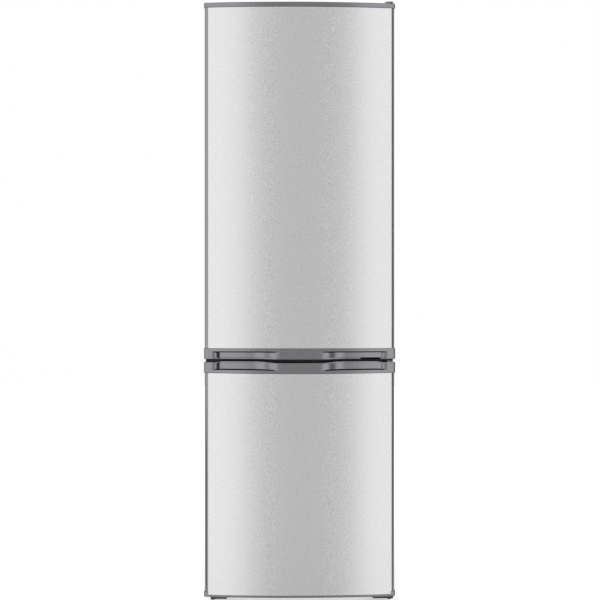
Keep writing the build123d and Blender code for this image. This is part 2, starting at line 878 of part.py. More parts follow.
evaporator_half = evaporator_tube_radius * tube_flat
evaporator_top = 2 * evaporator_half + evaporator_wire
drawer_space = evaporator_top + drawer_top_gap
upper_drawer_height = (freezer_ceiling - step_top) / 2 - drawer_space
upper_evaporator_z = step_top + upper_drawer_height + drawer_space
evaporator_levels = (step_top, upper_evaporator_z)
rib_ends = (step_front_y, freezer_back_y)

with BuildPart() as freezer_liner:
    extrude(freezer_outer, amount=2 * freezer_outer_half)
    flange_z = (pan_top, divider_span[0] - fit_gap)
    block(both_ways(frame_half), (front_y, foam_front_y), flange_z)
    extrude(freezer_profile(freezer_half, 0), amount=2 * freezer_half, mode=Mode.SUBTRACT)
    for level, rib_end in zip(evaporator_levels, rib_ends):
        rib_z = (level - rib_height, level)
        rib_y = (front_y + evaporator_front_gap, rib_end)
        block((freezer_half - freezer_rib_width, freezer_half), rib_y, rib_z)
        block((-freezer_half, freezer_rib_width - freezer_half), rib_y, rib_z)
save(freezer_liner.part, "freezer_liner")


def channel(x_half, y_span, z_span, sheet):
    """Folded channel along X, closed at the front and open to the back."""
    block(both_ways(x_half), y_span, z_span)
    inner_z = (z_span[0] + sheet, z_span[1] - sheet)
    block(both_ways(x_half), (y_span[0] + sheet, y_span[1]), inner_z, Mode.SUBTRACT)


with BuildPart() as divider_rail:
    channel(frame_half, rail_space_y, divider_span, rail_channel_sheet)
    # Raised cover over the hinge holes of the other side
    cover_x = (-case_half, hole_cover_length - case_half)
    cover_z = (divider_middle - hole_cover_height / 2, divider_middle + hole_cover_height / 2)
    block(cover_x, (front_y - hole_cover, rail_space_y[0]), cover_z)
save(divider_rail.part, "divider_rail")

with BuildPart() as base_pan:
    block(both_ways(case_half), (foam_front_y, case_back_y), (base_z, pan_top))
    lip_y = (case_back_y - base_sheet, case_back_y)
    block(both_ways(case_half), lip_y, (pan_top, pan_top + base_lip))
save(base_pan.part, "base_pan")

rail_y = (front_y + rail_setback, front_y + rail_setback + rail_depth)
with BuildPart() as front_rail:
    channel(half_width - rail_margin, rail_y, (bottom_plate_top, base_z), rail_sheet)
save(front_rail.part, "front_rail")

# Hinges with their pins, screws and cover


def screw_places(centre_x, centre_y, spread_x, spread_y):
    """Two screws set cornerwise about a centre."""
    return [(centre_x - spread_x, centre_y - spread_y), (centre_x + spread_x, centre_y + spread_y)]


bracket_x = half_width - rail_margin - bracket_width / 2
top_plate_x = hinge_x + hinge_eye - top_plate_width / 2
top_plate_y = front_y + rail_setback + top_plate_length / 2
top_screws = screw_places(top_plate_x, top_plate_y, top_plate_width / 4, top_plate_length / 4)
right_screws = screw_places(bracket_x, rail_y[0] + rail_depth / 2, bracket_width / 4, 0)
left_screws = [(-x, y) for x, y in right_screws]
middle_plate_x = half_width - rail_margin - middle_plate_width / 2
middle_screw_x = [middle_plate_x - middle_plate_width / 3, middle_plate_x]
screw_hole_radius = screw_shank_radius + screw_hole_fit


def hinge_plate(z_span, centre, size):
    """Flat hinge plate: rounded eye at the pin, drawn out to a rectangle on the cabinet."""
    with BuildSketch(Plane.XY.offset(z_span[0])) as plate:
        with Locations((hinge_x, hinge_y)):
            Circle(hinge_eye)
        with Locations(centre):
            Rectangle(*size)
        make_hull()
    extrude(plate.sketch, amount=z_span[1] - z_span[0])


def necked_plan(z, eye, centre, size, corner):
    """Round eye at the pin, a straight neck and a plate on the cabinet, seen from above."""
    plate_front = centre[1] - size[1] / 2
    with BuildSketch(Plane.XY.offset(z)) as plan:
        with Locations((hinge_x, hinge_y)):
            Circle(eye)
        with Locations((hinge_x, (hinge_y + centre[1]) / 2)):
            Rectangle(2 * eye, centre[1] - hinge_y)
        with Locations(centre):
            RectangleRounded(*size, corner)
        fillet(plan.vertices().sort_by_distance((hinge_x - eye, plate_front, z))[0], corner)
    return plan.sketch


def foot_plate(side, outer, reach, bolt_x):
    """Bracket under one front corner: plate, tongue with a turned-down lip, nut below the pin."""
    tongue_x = sorted((side * outer, side * (outer - reach)))
    tongue_front = hinge_y - hinge_eye
    plate_x = sorted((side * (bracket_x - bracket_width / 2), side * (bracket_x + bracket_width / 2)))
    block(plate_x, (rail_y[0], rail_y[0] + bracket_length), bottom_plate_span)
    block(tongue_x, (tongue_front, rail_y[0]), bottom_plate_span)
    lip_z = (bottom_plate_bottom - bracket_lip_drop, bottom_plate_bottom)
    block(tongue_x, (tongue_front, tongue_front + bracket_lip), lip_z)
    with BuildSketch(Plane.XY.offset(bottom_plate_bottom - pin_nut_height)) as nut:
        with Locations((side * bolt_x, hinge_y)):
            RegularPolygon(pin_nut_radius, 6)
    extrude(nut.sketch, amount=pin_nut_height)


def foot_nut(x):
    """Welded nut that carries the threaded stud of a foot, with the hole through its plate."""
    with BuildSketch(Plane.XY.offset(bottom_plate_top)) as nut:
        with Locations((x, foot_y)):
            RegularPolygon(nut_radius, 6)
    extrude(nut.sketch, amount=nut_height)
    nut_z = (bottom_plate_bottom, bottom_plate_top + nut_height)
    post(x, foot_y, nut_z, stud_radius + stud_fit, Mode.SUBTRACT)


top_plate_span = (cabinet_top, cabinet_top + top_plate)
bottom_plate_span = (bottom_plate_bottom, bottom_plate_top)
with BuildPart() as top_hinge:
    plate_size = (top_plate_width, top_plate_length)
    plate = necked_plan(cabinet_top, hinge_eye, (top_plate_x, top_plate_y), plate_size, cover_corner)
    extrude(plate, amount=top_plate)
    for x, y in top_screws:
        post(x, y, top_plate_span, screw_hole_radius, Mode.SUBTRACT)
    post(hinge_x, hinge_y, (upper_door_top - pin_reach + pin_end_gap, cabinet_top), pin_radius)
save(top_hinge.part, "top_hinge")

tongue_span = (tongue_bottom, tongue_bottom + tongue)
middle_plate_y = (front_y - middle_plate, front_y)
middle_plate_z = (divider_middle - middle_plate_height / 2, divider_middle + middle_plate_height / 2)
with BuildPart() as middle_hinge:
    arm_y = front_y - middle_plate / 2
    hinge_plate(tongue_span, (middle_plate_x, arm_y), (middle_plate_width, middle_plate))
    plate_x = (middle_plate_x - middle_plate_width / 2, middle_plate_x + middle_plate_width / 2)
    block(plate_x, middle_plate_y, middle_plate_z)
    for x in middle_screw_x:
        with Locations(Location((x, arm_y, middle_plate_z[1] - screw_head_radius), (90, 0, 0))):
            Cylinder(screw_hole_radius, middle_plate, mode=Mode.SUBTRACT)
    pin_low = lower_door_top - pin_reach + pin_end_gap
    pin_high = upper_door_bottom + pin_reach - pin_end_gap
    post(hinge_x, hinge_y, (pin_low, pin_high), pin_radius)
save(middle_hinge.part, "middle_hinge")

with BuildPart() as bottom_hinge:
    foot_plate(1, hinge_x + hinge_eye, bracket_tongue, hinge_x)
    foot_nut(foot_x)
    for x, y in right_screws:
        post(x, y, bottom_plate_span, screw_hole_radius, Mode.SUBTRACT)
    post(hinge_x, hinge_y, (bottom_plate_top, door_bottom + pin_reach - pin_end_gap), pin_radius)
save(bottom_hinge.part, "bottom_hinge")

with BuildPart() as hinge_screws:
    for x, y in top_screws:
        head_z = (top_plate_span[1], top_plate_span[1] + screw_head_height)
        post(x, y, top_plate_span, screw_shank_radius)
        post(x, y, head_z, screw_head_radius)
    for x, y in right_screws + left_screws:
        head_z = (bottom_plate_bottom - screw_head_height, bottom_plate_bottom)
        post(x, y, bottom_plate_span, screw_shank_radius)
        post(x, y, head_z, screw_head_radius)
    for x in middle_screw_x:
        shank_y = front_y - middle_plate / 2
        head_y = front_y - middle_plate - screw_head_height / 2
        screw_z = middle_plate_z[1] - screw_head_radius
        with Locations(Location((x, shank_y, screw_z), (90, 0, 0))):
            Cylinder(screw_shank_radius, middle_plate)
        with Locations(Location((x, head_y, screw_z), (90, 0, 0))):
            Cylinder(screw_head_radius, screw_head_height)
save(hinge_screws.part, "hinge_screws")


def cover_plan(inset):
    """Hinge cover seen from above: narrow rounded nose, then wide over the plate."""
    nose = cover_nose_radius - inset
    margin = nose - hinge_eye
    size = (top_plate_width + 2 * margin, top_plate_length + 2 * margin)
    return necked_plan(cabinet_top, nose, (top_plate_x, top_plate_y), size, cover_corner)


with BuildPart() as hinge_cover:
    extrude(cover_plan(0), amount=cover_rise)
    fillet(hinge_cover.faces().sort_by(Axis.Z)[-1].edges(), cover_round)
    extrude(cover_plan(cover_wall), amount=cover_rise - cover_wall, mode=Mode.SUBTRACT)
save(hinge_cover.part, "hinge_cover")

# Feet and rollers
with BuildPart() as foot_brackets:
    foot_plate(-1, left_tongue_outer, left_tongue, left_bolt_x)
    foot_nut(-foot_x)
    for x, y in left_screws:
        post(x, y, bottom_plate_span, screw_hole_radius, Mode.SUBTRACT)
    cheek_offset = roller_width / 2 + roller_side_gap
    fork_half = cheek_offset + roller_cheek
    fork_y = (roller_y - roller_cheek_length / 2, roller_y + roller_cheek_length / 2)
    for x in (-roller_x, roller_x):
        block((x - fork_half, x + fork_half), fork_y, (roller_cheek_ground, base_z))
        gap_z = (roller_cheek_ground, base_z - roller_cheek)
        block((x - cheek_offset, x + cheek_offset), fork_y, gap_z, Mode.SUBTRACT)
        with Locations(Location((x, roller_y, roller_radius), (0, 90, 0))):
            Cylinder(axle_radius, 2 * fork_half)
save(foot_brackets.part, "foot_brackets")


def front_foot(x):
    """Levelling foot: round pad, hexagonal collar and threaded stud."""
    with BuildPart() as foot:
        post(x, foot_y, (0, foot_height), foot_radius)
        fillet(foot.edges().sort_by(Axis.Z)[-1], foot_height / 2)
        with BuildSketch(Plane.XY.offset(foot_height)):
            with Locations((x, foot_y)):
                RegularPolygon(foot_collar_radius, 6)
        extrude(amount=foot_collar_height)
        post(x, foot_y, (foot_height, base_z - rail_sheet), stud_radius)
    return foot.part


def rear_roller(x):
    """Plastic roller that turns on the axle of its fork."""
    with BuildPart() as roller:
        with Locations(Location((x, roller_y, roller_radius), (0, 90, 0))):
            Cylinder(roller_radius, roller_width)
            Cylinder(axle_radius + pin_fit, roller_width, mode=Mode.SUBTRACT)
        chamfer(roller.edges().filter_by(GeomType.CIRCLE).sort_by(SortBy.RADIUS)[-2:], roller_side_gap)
    return roller.part


save(front_foot(-foot_x), "left_front_foot")
save(front_foot(foot_x), "right_front_foot")
save(rear_roller(-roller_x), "left_rear_roller")
save(rear_roller(roller_x), "right_rear_roller")

# Fridge shelves with their edge trims, and the crisper under its cover
glass_half = fridge_half - shelf_side_gap
glass_front_y = shelf_front_y + trim_wall
glass_back_y = shelf_back_y - trim_wall


def glass_pane(level):
    """Flat glass shelf."""
    with BuildPart() as pane:
        block(both_ways(glass_half), (glass_front_y, glass_back_y), (level, level + glass_thickness))
    return pane.part


def shelf_trim_pair(level):
    """Front nose and rear upstand that grip the edges of one pane."""
    top = level + glass_thickness + trim_wall
    trim_half = glass_half - rib_width
    grip_z = (level, level + glass_thickness)
    front_end = shelf_front_y + trim_reach
    rear_start = shelf_back_y - trim_reach
    block(both_ways(trim_half), (shelf_front_y, front_end), (level - trim_wall - trim_nose, top))
    under = (level - trim_wall - trim_nose, level - trim_wall)
    block(both_ways(trim_half), (shelf_front_y + trim_wall, front_end), under, Mode.SUBTRACT)
    block(both_ways(trim_half), (glass_front_y, front_end), grip_z, Mode.SUBTRACT)
    block(both_ways(trim_half), (rear_start, shelf_back_y), (level - trim_wall, top + trim_upstand))
    over = (top, top + trim_upstand)
    block(both_ways(trim_half), (rear_start, glass_back_y), over, Mode.SUBTRACT)
    block(both_ways(trim_half), (rear_start, glass_back_y), grip_z, Mode.SUBTRACT)


for shelf_number, level in enumerate(shelf_levels, start=1):
    save(glass_pane(level), f"glass_shelf_{shelf_number}")
save(glass_pane(crisper_cover_z), "crisper_cover")

with BuildPart() as shelf_trims:
    for level in [crisper_cover_z, *shelf_levels]:
        shelf_trim_pair(level)
save(shelf_trims.part, "shelf_trims")


def front_pull(y, z):
    """Hooked grip on the front of a drawer, open from below."""
    pull_z = (z - pull_height, z)
    block(both_ways(pull_width / 2), (y - pull_depth, y), pull_z)
    space_z = (pull_z[0], pull_z[1] - pull_wall)
    space_half = pull_width / 2 - pull_wall
    block(both_ways(space_half), (y - pull_depth + pull_wall, y), space_z, Mode.SUBTRACT)


with BuildPart() as crisper_drawer:
    crisper_front = shelf_front_y + pull_depth
    crisper_top = crisper_cover_z - rib_height - crisper_top_gap
    drafted_tub(
        fridge_half - crisper_side_gap,
        (crisper_front, fridge_back_y - liner_corner),
        (fridge_floor, crisper_top),
    )
    front_pull(crisper_front + tub_wall, crisper_top)
save(crisper_drawer.part, "crisper_drawer")

# Control housing on the right-hand wall
housing_x = fridge_half - housing_thickness
housing_y = (ring_back_y + housing_back_gap, ring_back_y + housing_back_gap + housing_length)
housing_z = (fridge_ceiling - housing_drop - housing_height, fridge_ceiling - housing_drop)
lamp_y = (housing_y[1] - lamp_margin - lamp_length, housing_y[1] - lamp_margin)
lamp_middle = sum(housing_z) / 2
lamp_z = (lamp_middle - lamp_height / 2, lamp_middle + lamp_height / 2)
knob_y = housing_y[0] + knob_margin
knob_z = lamp_middle
switch_x = fridge_ring_half - ring_width / 2
switch_z = housing_z[0] + switch_drop


def crosswise_rod(x_span, y, z, radius, mode=Mode.ADD):
    """Round rod along X."""
    with Locations(Location((sum(x_span) / 2, y, z), (0, 90, 0))):
        Cylinder(radius, x_span[1] - x_span[0], mode=mode)


def lengthwise_rod(x, y_span, z, radius, mode=Mode.ADD):
    """Round rod along Y."""
    with Locations(Location((x, sum(y_span) / 2, z), (90, 0, 0))):
        Cylinder(radius, y_span[1] - y_span[0], mode=mode)


with BuildPart() as control_housing:
    block((housing_x, fridge_half), housing_y, housing_z)
    inner_face = control_housing.faces().sort_by(Axis.X)[0]
    fillet(inner_face.edges(), housing_round)
    pocket_y = (lamp_y[0] - lamp_fit, lamp_y[1] + lamp_fit)
    pocket_z = (lamp_z[0] - lamp_fit, lamp_z[1] + lamp_fit)
    block((housing_x, housing_x + lamp_depth), pocket_y, pocket_z, Mode.SUBTRACT)
    shaft_bore = (housing_x, housing_x + knob_shaft_length + knob_gap)
    crosswise_rod(shaft_bore, knob_y, knob_z, knob_shaft_radius + pin_fit, Mode.SUBTRACT)
    switch_bore = (housing_y[0], housing_y[0] + switch_stem + switch_travel)
    lengthwise_rod(switch_x, switch_bore, switch_z, switch_radius + switch_fit, Mode.SUBTRACT)
save(control_housing.part, "control_housing")

with BuildPart() as lamp_cover:
    block((housing_x - lamp_rib, housing_x + lamp_depth), lamp_y, lamp_z)
    rib_pitch = lamp_length / lamp_ribs
    with Locations((housing_x - lamp_rib / 2, sum(lamp_y) / 2, lamp_middle)):
        with GridLocations(0, rib_pitch, 1, lamp_ribs - 1):
            Box(lamp_rib, rib_pitch / 2, lamp_height, mode=Mode.SUBTRACT)
save(lamp_cover.part, "lamp_cover")

with BuildPart() as thermostat_knob:
    knob_back = housing_x - knob_gap
    knob_face = knob_back - knob_length
    crosswise_rod((knob_face, knob_back), knob_y, knob_z, knob_radius)
    grip_z = (knob_z - knob_radius, knob_z + knob_radius)
    for side in (-1, 1):
        cheek = sorted((knob_y + side * knob_grip, knob_y + side * knob_radius))
        block((knob_face, knob_back - knob_length / 2), cheek, grip_z, Mode.SUBTRACT)
    crosswise_rod((knob_back, housing_x + knob_shaft_length), knob_y, knob_z, knob_shaft_radius)
save(thermostat_knob.part, "thermostat_knob")

with BuildPart() as door_switch_button:
    button_y = (ring_back_y + gasket_clearance, housing_y[0] + switch_stem)
    lengthwise_rod(switch_x, button_y, switch_z, switch_radius)
    fillet(door_switch_button.edges().sort_by(Axis.Y)[0], switch_radius / 2)
save(door_switch_button.part, "door_switch_button")

# Freezer: refrigerated wire shelves and drawers


def serpentine(start_x, levels, place):
    """Path that runs to and fro across the width, one half-turn from each level to the next."""
    side = -1
    for number, level in enumerate(levels):
        Line(place(side * start_x, level), place(-side * start_x, level))
        side = -side
        if number + 1 < len(levels):
            step = levels[number + 1] - level
            bulge = place(side * (start_x + step / 2), level + step / 2)
            ThreePointArc(place(side * start_x, level), bulge, place(side * start_x, levels[number + 1]))


def evaporator_shelf(level):
    """Refrigerated shelf: a tube to and fro with wires welded across its top."""
    tube_z = level + evaporator_half
    first_y = front_y + evaporator_front_gap + evaporator_tube_radius
    rows = [first_y + evaporator_pitch * number for number in range(evaporator_passes)]
    reach = freezer_half - evaporator_side_gap - evaporator_tube_radius
    straight = reach - evaporator_pitch / 2
    with BuildPart() as shelf:
        with BuildLine() as path:
            serpentine(straight, rows, lambda x, y: (x, y, tube_z))
        with BuildSketch(Plane(origin=path.line @ 0, z_dir=path.line % 0)):
            RegularPolygon(evaporator_tube_radius, tube_sides, rotation=tube_turn)
        sweep(path=path.line)
        wire_z = level + evaporator_top - evaporator_wire / 2
        wire_length = rows[-1] - rows[0] + evaporator_pitch / 2
        wire_pitch = 2 * straight / (evaporator_wires - 1)
        with Locations((0, (rows[0] + rows[-1]) / 2, wire_z)):
            with GridLocations(wire_pitch, 0, evaporator_wires, 1):
                Box(evaporator_wire, wire_length, evaporator_wire)
    return shelf.part


for shelf_number, level in enumerate(evaporator_levels, start=1):
    save(evaporator_shelf(level), f"evaporator_shelf_{shelf_number}")


def freezer_drawer(floor, height, rear_y_limit):
    """Freezer drawer: drafted tub, tall front panel and hooked grip."""
    drawer_y = front_y + drawer_setback
    drawer_half = freezer_half - drawer_side_gap
    with BuildPart() as drawer:
        drafted_tub(drawer_half, (drawer_y, rear_y_limit - drawer_rear_gap), (floor, floor + height))
        with BuildSketch(front_plane(drawer_y + drawer_front_panel)):
            with Locations((0, floor + height / 2)):
                RectangleRounded(2 * drawer_half, height, tub_corner / 2)
        extrude(amount=drawer_front_panel)
        front_pull(drawer_y, floor + height)
    return drawer.part


bottom_drawer_height = step_height - rib_height - drawer_top_gap
drawer_floors = [freezer_floor, step_top + evaporator_top, upper_evaporator_z + evaporator_top]
drawer_heights = [bottom_drawer_height, upper_drawer_height, upper_drawer_height]
drawer_limits = [step_front_y, freezer_back_y, freezer_back_y]
for drawer_number in range(len(drawer_floors)):
    drawer = freezer_drawer(
        drawer_floors[drawer_number],
        drawer_heights[drawer_number],
        drawer_limits[drawer_number],
    )
    save(drawer, f"freezer_drawer_{drawer_number + 1}")

# Machine space
compressor_y = back_y - compressor_setback
plate_z = pan_top + grommet_height
shell_z = plate_z + mount_plate
shell_top = shell_z + compressor_height
stub_z = shell_z + stub_level
stub_x = compressor_x - compressor_length / 2
stub_rows = (compressor_y - stub_spacing / 2, compressor_y + stub_spacing / 2)
mount_places = [
    (compressor_x + side * mount_length / 2, compressor_y + end * mount_breadth / 2)
    for side in (-1, 1)
    for end in (-1, 1)
]


def shell_plan(z, grow):
    """Oval outline of the compressor shell."""
    with BuildSketch(Plane.XY.offset(z)) as plan:
        with Locations((compressor_x, compressor_y)):
            Ellipse(compressor_length / 2 + grow, compressor_breadth / 2 + grow)
    return plan.sketch


with BuildPart() as compressor:
    extrude(shell_plan(shell_z, 0), amount=compressor_height)
    fillet(compressor.edges().sort_by(Axis.Z)[0], compressor_low_round)
    fillet(compressor.edges().sort_by(Axis.Z)[-1], compressor_dome_round)
    extrude(shell_plan(shell_z + weld_flange_level, weld_flange), amount=weld_flange_height)
    with BuildSketch(Plane.XY.offset(plate_z)):
        with Locations(mount_places):
            Circle(mount_eye)
        make_hull()
        with Locations(mount_places):
            Circle(grommet_neck_radius + grommet_fit, mode=Mode.SUBTRACT)
    extrude(amount=mount_plate)
    for row in stub_rows:
        stub_span = (stub_x - stub_length, compressor_x)
        crosswise_rod(stub_span, row, stub_z, stub_radius)
        bore_span = (stub_x - stub_length, stub_x)
        crosswise_rod(bore_span, row, stub_z, pipe_radius + pipe_fit, Mode.SUBTRACT)
save(compressor.part, "compressor")

with BuildPart() as compressor_grommets:
    cap_z = (shell_z + grommet_fit, shell_z + grommet_fit + grommet_cap_height)
    for x, y in mount_places:
        post(x, y, (pan_top, plate_z), grommet_radius)
        post(x, y, (plate_z, cap_z[0]), grommet_neck_radius)
        post(x, y, cap_z, grommet_cap_radius)
save(compressor_grommets.part, "compressor_grommets")

with BuildPart() as compressor_relay_box:
    relay_start = compressor_x + compressor_length / 2 - relay_length / 2
    relay_y = (compressor_y - relay_breadth / 2, compressor_y + relay_breadth / 2)
    relay_z = (shell_z + relay_level, shell_z + relay_level + relay_height)
    block((relay_start, relay_start + relay_length), relay_y, relay_z)
    fillet(compressor_relay_box.faces().sort_by(Axis.X)[-1].edges(), relay_round)
    extrude(shell_plan(shell_z, weld_flange + relay_fit), amount=compressor_height, mode=Mode.SUBTRACT)
save(compressor_relay_box.part, "compressor_relay_box")

with BuildPart() as evaporation_tray:
    for inset, floor, mode in ((0.0, 0.0, Mode.ADD), (tray_wall, tray_wall, Mode.SUBTRACT)):
        with BuildSketch(Plane.XY.offset(shell_top + floor)):
            with Locations((compressor_x, compressor_y)):
                RectangleRounded(tray_length - 2 * inset, tray_breadth - 2 * inset, tray_corner - inset)
        extrude(amount=tray_height - floor, mode=mode)
save(evaporation_tray.part, "evaporation_tray")

# Condenser on the back, its clips and the pipes that join it to the compressor
condenser_y = back_y + condenser_gap
condenser_rows = [condenser_level + condenser_pitch * number for number in range(condenser_passes)]
condenser_straight = condenser_half - condenser_pitch / 2
with BuildPart() as condenser:
    with BuildLine() as condenser_path:
        serpentine(condenser_straight, condenser_rows, lambda x, z: (x, condenser_y, z))
    with BuildSketch(Plane(origin=condenser_path.line @ 0, z_dir=condenser_path.line % 0)):
        RegularPolygon(pipe_radius, tube_sides, rotation=tube_turn)
    sweep(path=condenser_path.line)
    condenser_wire_y = condenser_y + pipe_radius * tube_flat + condenser_wire / 2
    condenser_wire_reach = condenser_straight - condenser_wire
    condenser_wire_pitch = 2 * condenser_wire_reach / (condenser_wires - 1)
    wire_height = condenser_rows[-1] - condenser_rows[0] + 2 * condenser_wire_overhang
    with Locations((0, condenser_wire_y, (condenser_rows[0] + condenser_rows[-1]) / 2)):
        with GridLocations(condenser_wire_pitch, 0, condenser_wires, 1):
            Box(condenser_wire, condenser_wire, wire_height)
save(condenser.part, "condenser")

# Each clip stands between two wires, hooks over a tube and keeps the cabinet off the wall
clip_x = condenser_wire_reach - clip_wire_steps * condenser_wire_pitch
with BuildPart() as condenser_clips:
    for row in (condenser_rows[1], condenser_rows[-2]):
        for x in (-clip_x, clip_x):
            clip_span = (x - clip_width / 2, x + clip_width / 2)
            block(clip_span, (back_y, rear_y), (row - clip_height / 2, row + clip_height / 2))
            hook_radius = pipe_radius + clip_fit
            crosswise_rod(clip_span, condenser_y, row, hook_radius, Mode.SUBTRACT)
            hook_y = (condenser_y - hook_radius, condenser_y + hook_radius)
            block(clip_span, hook_y, (row, row + clip_height), Mode.SUBTRACT)
save(condenser_clips.part, "condenser_clips")

drier_x = -(condenser_half + pipe_side_gap)
drier_y = back_y - drier_setback
drier_z = (pan_top + drier_level, pan_top + drier_level + drier_length)
discharge_x = -(condenser_straight + 2 * pipe_bend)
pipe_entry_x = stub_x - stub_length / 2


def pipe_run(points, radius):
    """Bent round pipe through a few corner points."""
    with BuildLine(mode=Mode.PRIVATE) as run:
        FilletPolyline(*points, radius=pipe_bend)
    with BuildSketch(Plane(origin=run.line @ 0, z_dir=run.line % 0), mode=Mode.PRIVATE) as section:
        RegularPolygon(radius, tube_sides, rotation=tube_turn)
    sweep(section.sketch, path=run.line)


with BuildPart() as refrigerant_pipes:
    discharge = [
        (pipe_entry_x, stub_rows[1], stub_z),
        (discharge_x, stub_rows[1], stub_z),
        (discharge_x, condenser_y, stub_z),
        (discharge_x, condenser_y, condenser_rows[0]),
        (-condenser_straight, condenser_y, condenser_rows[0]),
    ]
    pipe_run(discharge, pipe_radius)
    liquid_z = drier_z[1] + 3 * pipe_bend
    liquid = [
        (-condenser_straight, condenser_y, condenser_rows[-1]),
        (drier_x, condenser_y, condenser_rows[-1]),
        (drier_x, condenser_y, liquid_z),
        (drier_x, drier_y, liquid_z),
        (drier_x, drier_y, drier_z[1]),
    ]
    pipe_run(liquid, pipe_radius)
    suction_x = (pipe_entry_x + discharge_x) / 2
    suction = [
        (pipe_entry_x, stub_rows[0], stub_z),
        (suction_x, stub_rows[0], stub_z),
        (suction_x, niche_front_y, stub_z),
    ]
    pipe_run(suction, pipe_radius)
    capillary_z = drier_z[0] - 2 * pipe_bend
    capillary = [
        (drier_x, drier_y, drier_z[0]),
        (drier_x, drier_y, capillary_z),
        (drier_x, niche_front_y, capillary_z),
    ]
    pipe_run(capillary, capillary_radius)
save(refrigerant_pipes.part, "refrigerant_pipes")

with BuildPart() as filter_drier:
    drier_plane = Plane(origin=(drier_x, drier_y, drier_z[0]), x_dir=(1, 0, 0), z_dir=(0, -1, 0))
    with BuildSketch(drier_plane):
        with BuildLine():
            Polyline(
                (0, 0),
                (pipe_radius, 0),
                (drier_radius, drier_cone),
                (drier_radius, drier_length - drier_cone),
                (pipe_radius, drier_length),
                (0, drier_length),
                close=True,
            )
        make_face()
    revolve(axis=Axis((drier_x, drier_y, 0), (0, 0, 1)))
save(filter_drier.part, "filter_drier")
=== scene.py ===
# %% [markdown]
# # A two-door fridge-freezer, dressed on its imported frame
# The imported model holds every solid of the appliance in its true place: two bowed doors on
# their hinges, a cabinet with liners, shelves and drawers, and the cooling unit at the back.
# This lesson keeps those places and adds what a plain solid lacks: smooth bowed sheets, fine grip
# trims, rounded moulded edges, a wired condenser, screws, dial marks, finishes and light.

# %% Load the frame
import json
from math import asin, cos, pi, radians, sin, sqrt

import bpy
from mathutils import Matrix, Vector
from numpy import interp

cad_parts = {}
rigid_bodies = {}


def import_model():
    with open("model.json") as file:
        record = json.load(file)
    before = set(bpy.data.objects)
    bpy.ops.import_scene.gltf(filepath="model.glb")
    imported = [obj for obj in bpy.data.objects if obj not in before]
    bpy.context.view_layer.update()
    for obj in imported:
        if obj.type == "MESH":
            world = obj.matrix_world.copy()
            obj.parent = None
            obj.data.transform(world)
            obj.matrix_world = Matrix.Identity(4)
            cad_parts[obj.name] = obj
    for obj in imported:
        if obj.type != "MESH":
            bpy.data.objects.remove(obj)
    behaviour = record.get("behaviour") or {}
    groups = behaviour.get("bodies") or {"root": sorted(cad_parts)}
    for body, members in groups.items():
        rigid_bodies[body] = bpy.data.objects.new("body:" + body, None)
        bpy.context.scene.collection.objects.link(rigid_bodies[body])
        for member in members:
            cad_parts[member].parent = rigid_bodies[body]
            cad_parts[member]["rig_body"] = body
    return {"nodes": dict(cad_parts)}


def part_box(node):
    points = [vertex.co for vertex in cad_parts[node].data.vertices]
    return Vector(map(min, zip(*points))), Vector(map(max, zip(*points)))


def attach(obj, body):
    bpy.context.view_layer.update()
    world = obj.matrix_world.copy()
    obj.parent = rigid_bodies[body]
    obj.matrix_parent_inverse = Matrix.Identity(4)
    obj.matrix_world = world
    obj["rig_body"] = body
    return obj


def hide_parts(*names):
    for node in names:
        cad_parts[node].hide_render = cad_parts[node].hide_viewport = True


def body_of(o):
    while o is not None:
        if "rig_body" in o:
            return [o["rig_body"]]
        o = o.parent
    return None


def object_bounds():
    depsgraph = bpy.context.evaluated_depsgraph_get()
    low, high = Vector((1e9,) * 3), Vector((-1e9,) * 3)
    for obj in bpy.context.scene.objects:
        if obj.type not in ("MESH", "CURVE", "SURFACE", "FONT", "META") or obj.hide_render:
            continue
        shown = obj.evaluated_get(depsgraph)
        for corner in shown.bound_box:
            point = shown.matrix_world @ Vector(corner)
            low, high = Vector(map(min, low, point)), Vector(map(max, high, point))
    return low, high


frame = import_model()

MM = 0.001
cad_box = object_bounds()
nodes = frame["nodes"]


def in_mm(lengths, digits=1):
    """Lengths in metres as rounded millimetres, for printing."""
    return [round(length / MM, digits) for length in lengths]


print("CAD box in mm", [in_mm(corner) for corner in cad_box], "nodes", len(nodes))

# %% [markdown]
# ## Camera
# The picture was taken from straight in front, a little left of the middle. Vertical edges stay
# upright in it, so the camera is level. The bowed edges curve up at the top and down at the foot,
# so it stands between them, at half the height of the doors, and a long lens from about three
# and a half metres away fills the square picture with the appliance.

# %% Camera at the photograph's angle
camera_place = Vector((-58.8, -3788.5, 873)) * MM
camera_heading = radians(-0.974)
sensor_mm, lens_mm = 36.0, 73.62
bpy.ops.object.select_all(action="DESELECT")
bpy.ops.object.camera_add(location=camera_place, rotation=(pi / 2, 0, camera_heading))
camera = bpy.context.object
camera.name = "front_camera"
camera.data.sensor_fit = "HORIZONTAL"
camera.data.sensor_width = sensor_mm
camera.data.lens = lens_mm
bpy.context.scene.camera = camera
bpy.context.scene.view_settings.view_transform = "Standard"
print("camera", camera.name, "lens", lens_mm, "mm")

# %% [markdown]
# ## Colours and nodes
# A colour is picked on screen as a hex value, but shaders work in linear light, so one function
# turns the first into the second. A second small function adds a shader node, sets its sockets
# and links its inputs, so that each finish below reads as a short list of nodes.

# %% Colour and node helpers
def linear(hex_colour):
    """Screen colour as hex text to the linear colour that shader sockets take."""
    screen = [int(hex_colour[i:i + 2], 16) / 255 for i in (1, 3, 5)]
    return tuple(c / 12.92 if c <= 0.04045 else ((c + 0.055) / 1.055) ** 2.4 for c in screen) + (1.0,)


def add_node(tree, kind, settings=None, links=None):
    """Add one node, set its sockets or properties, and link outputs into its inputs."""
    node = tree.nodes.new(kind)
    for key, value in (settings or {}).items():
        if isinstance(key, int) or key in node.inputs:
            node.inputs[key].default_value = value
        else:
            setattr(node, key, value)
    for key, source in (links or {}).items():
        tree.links.new(source, node.inputs[key])
    return node


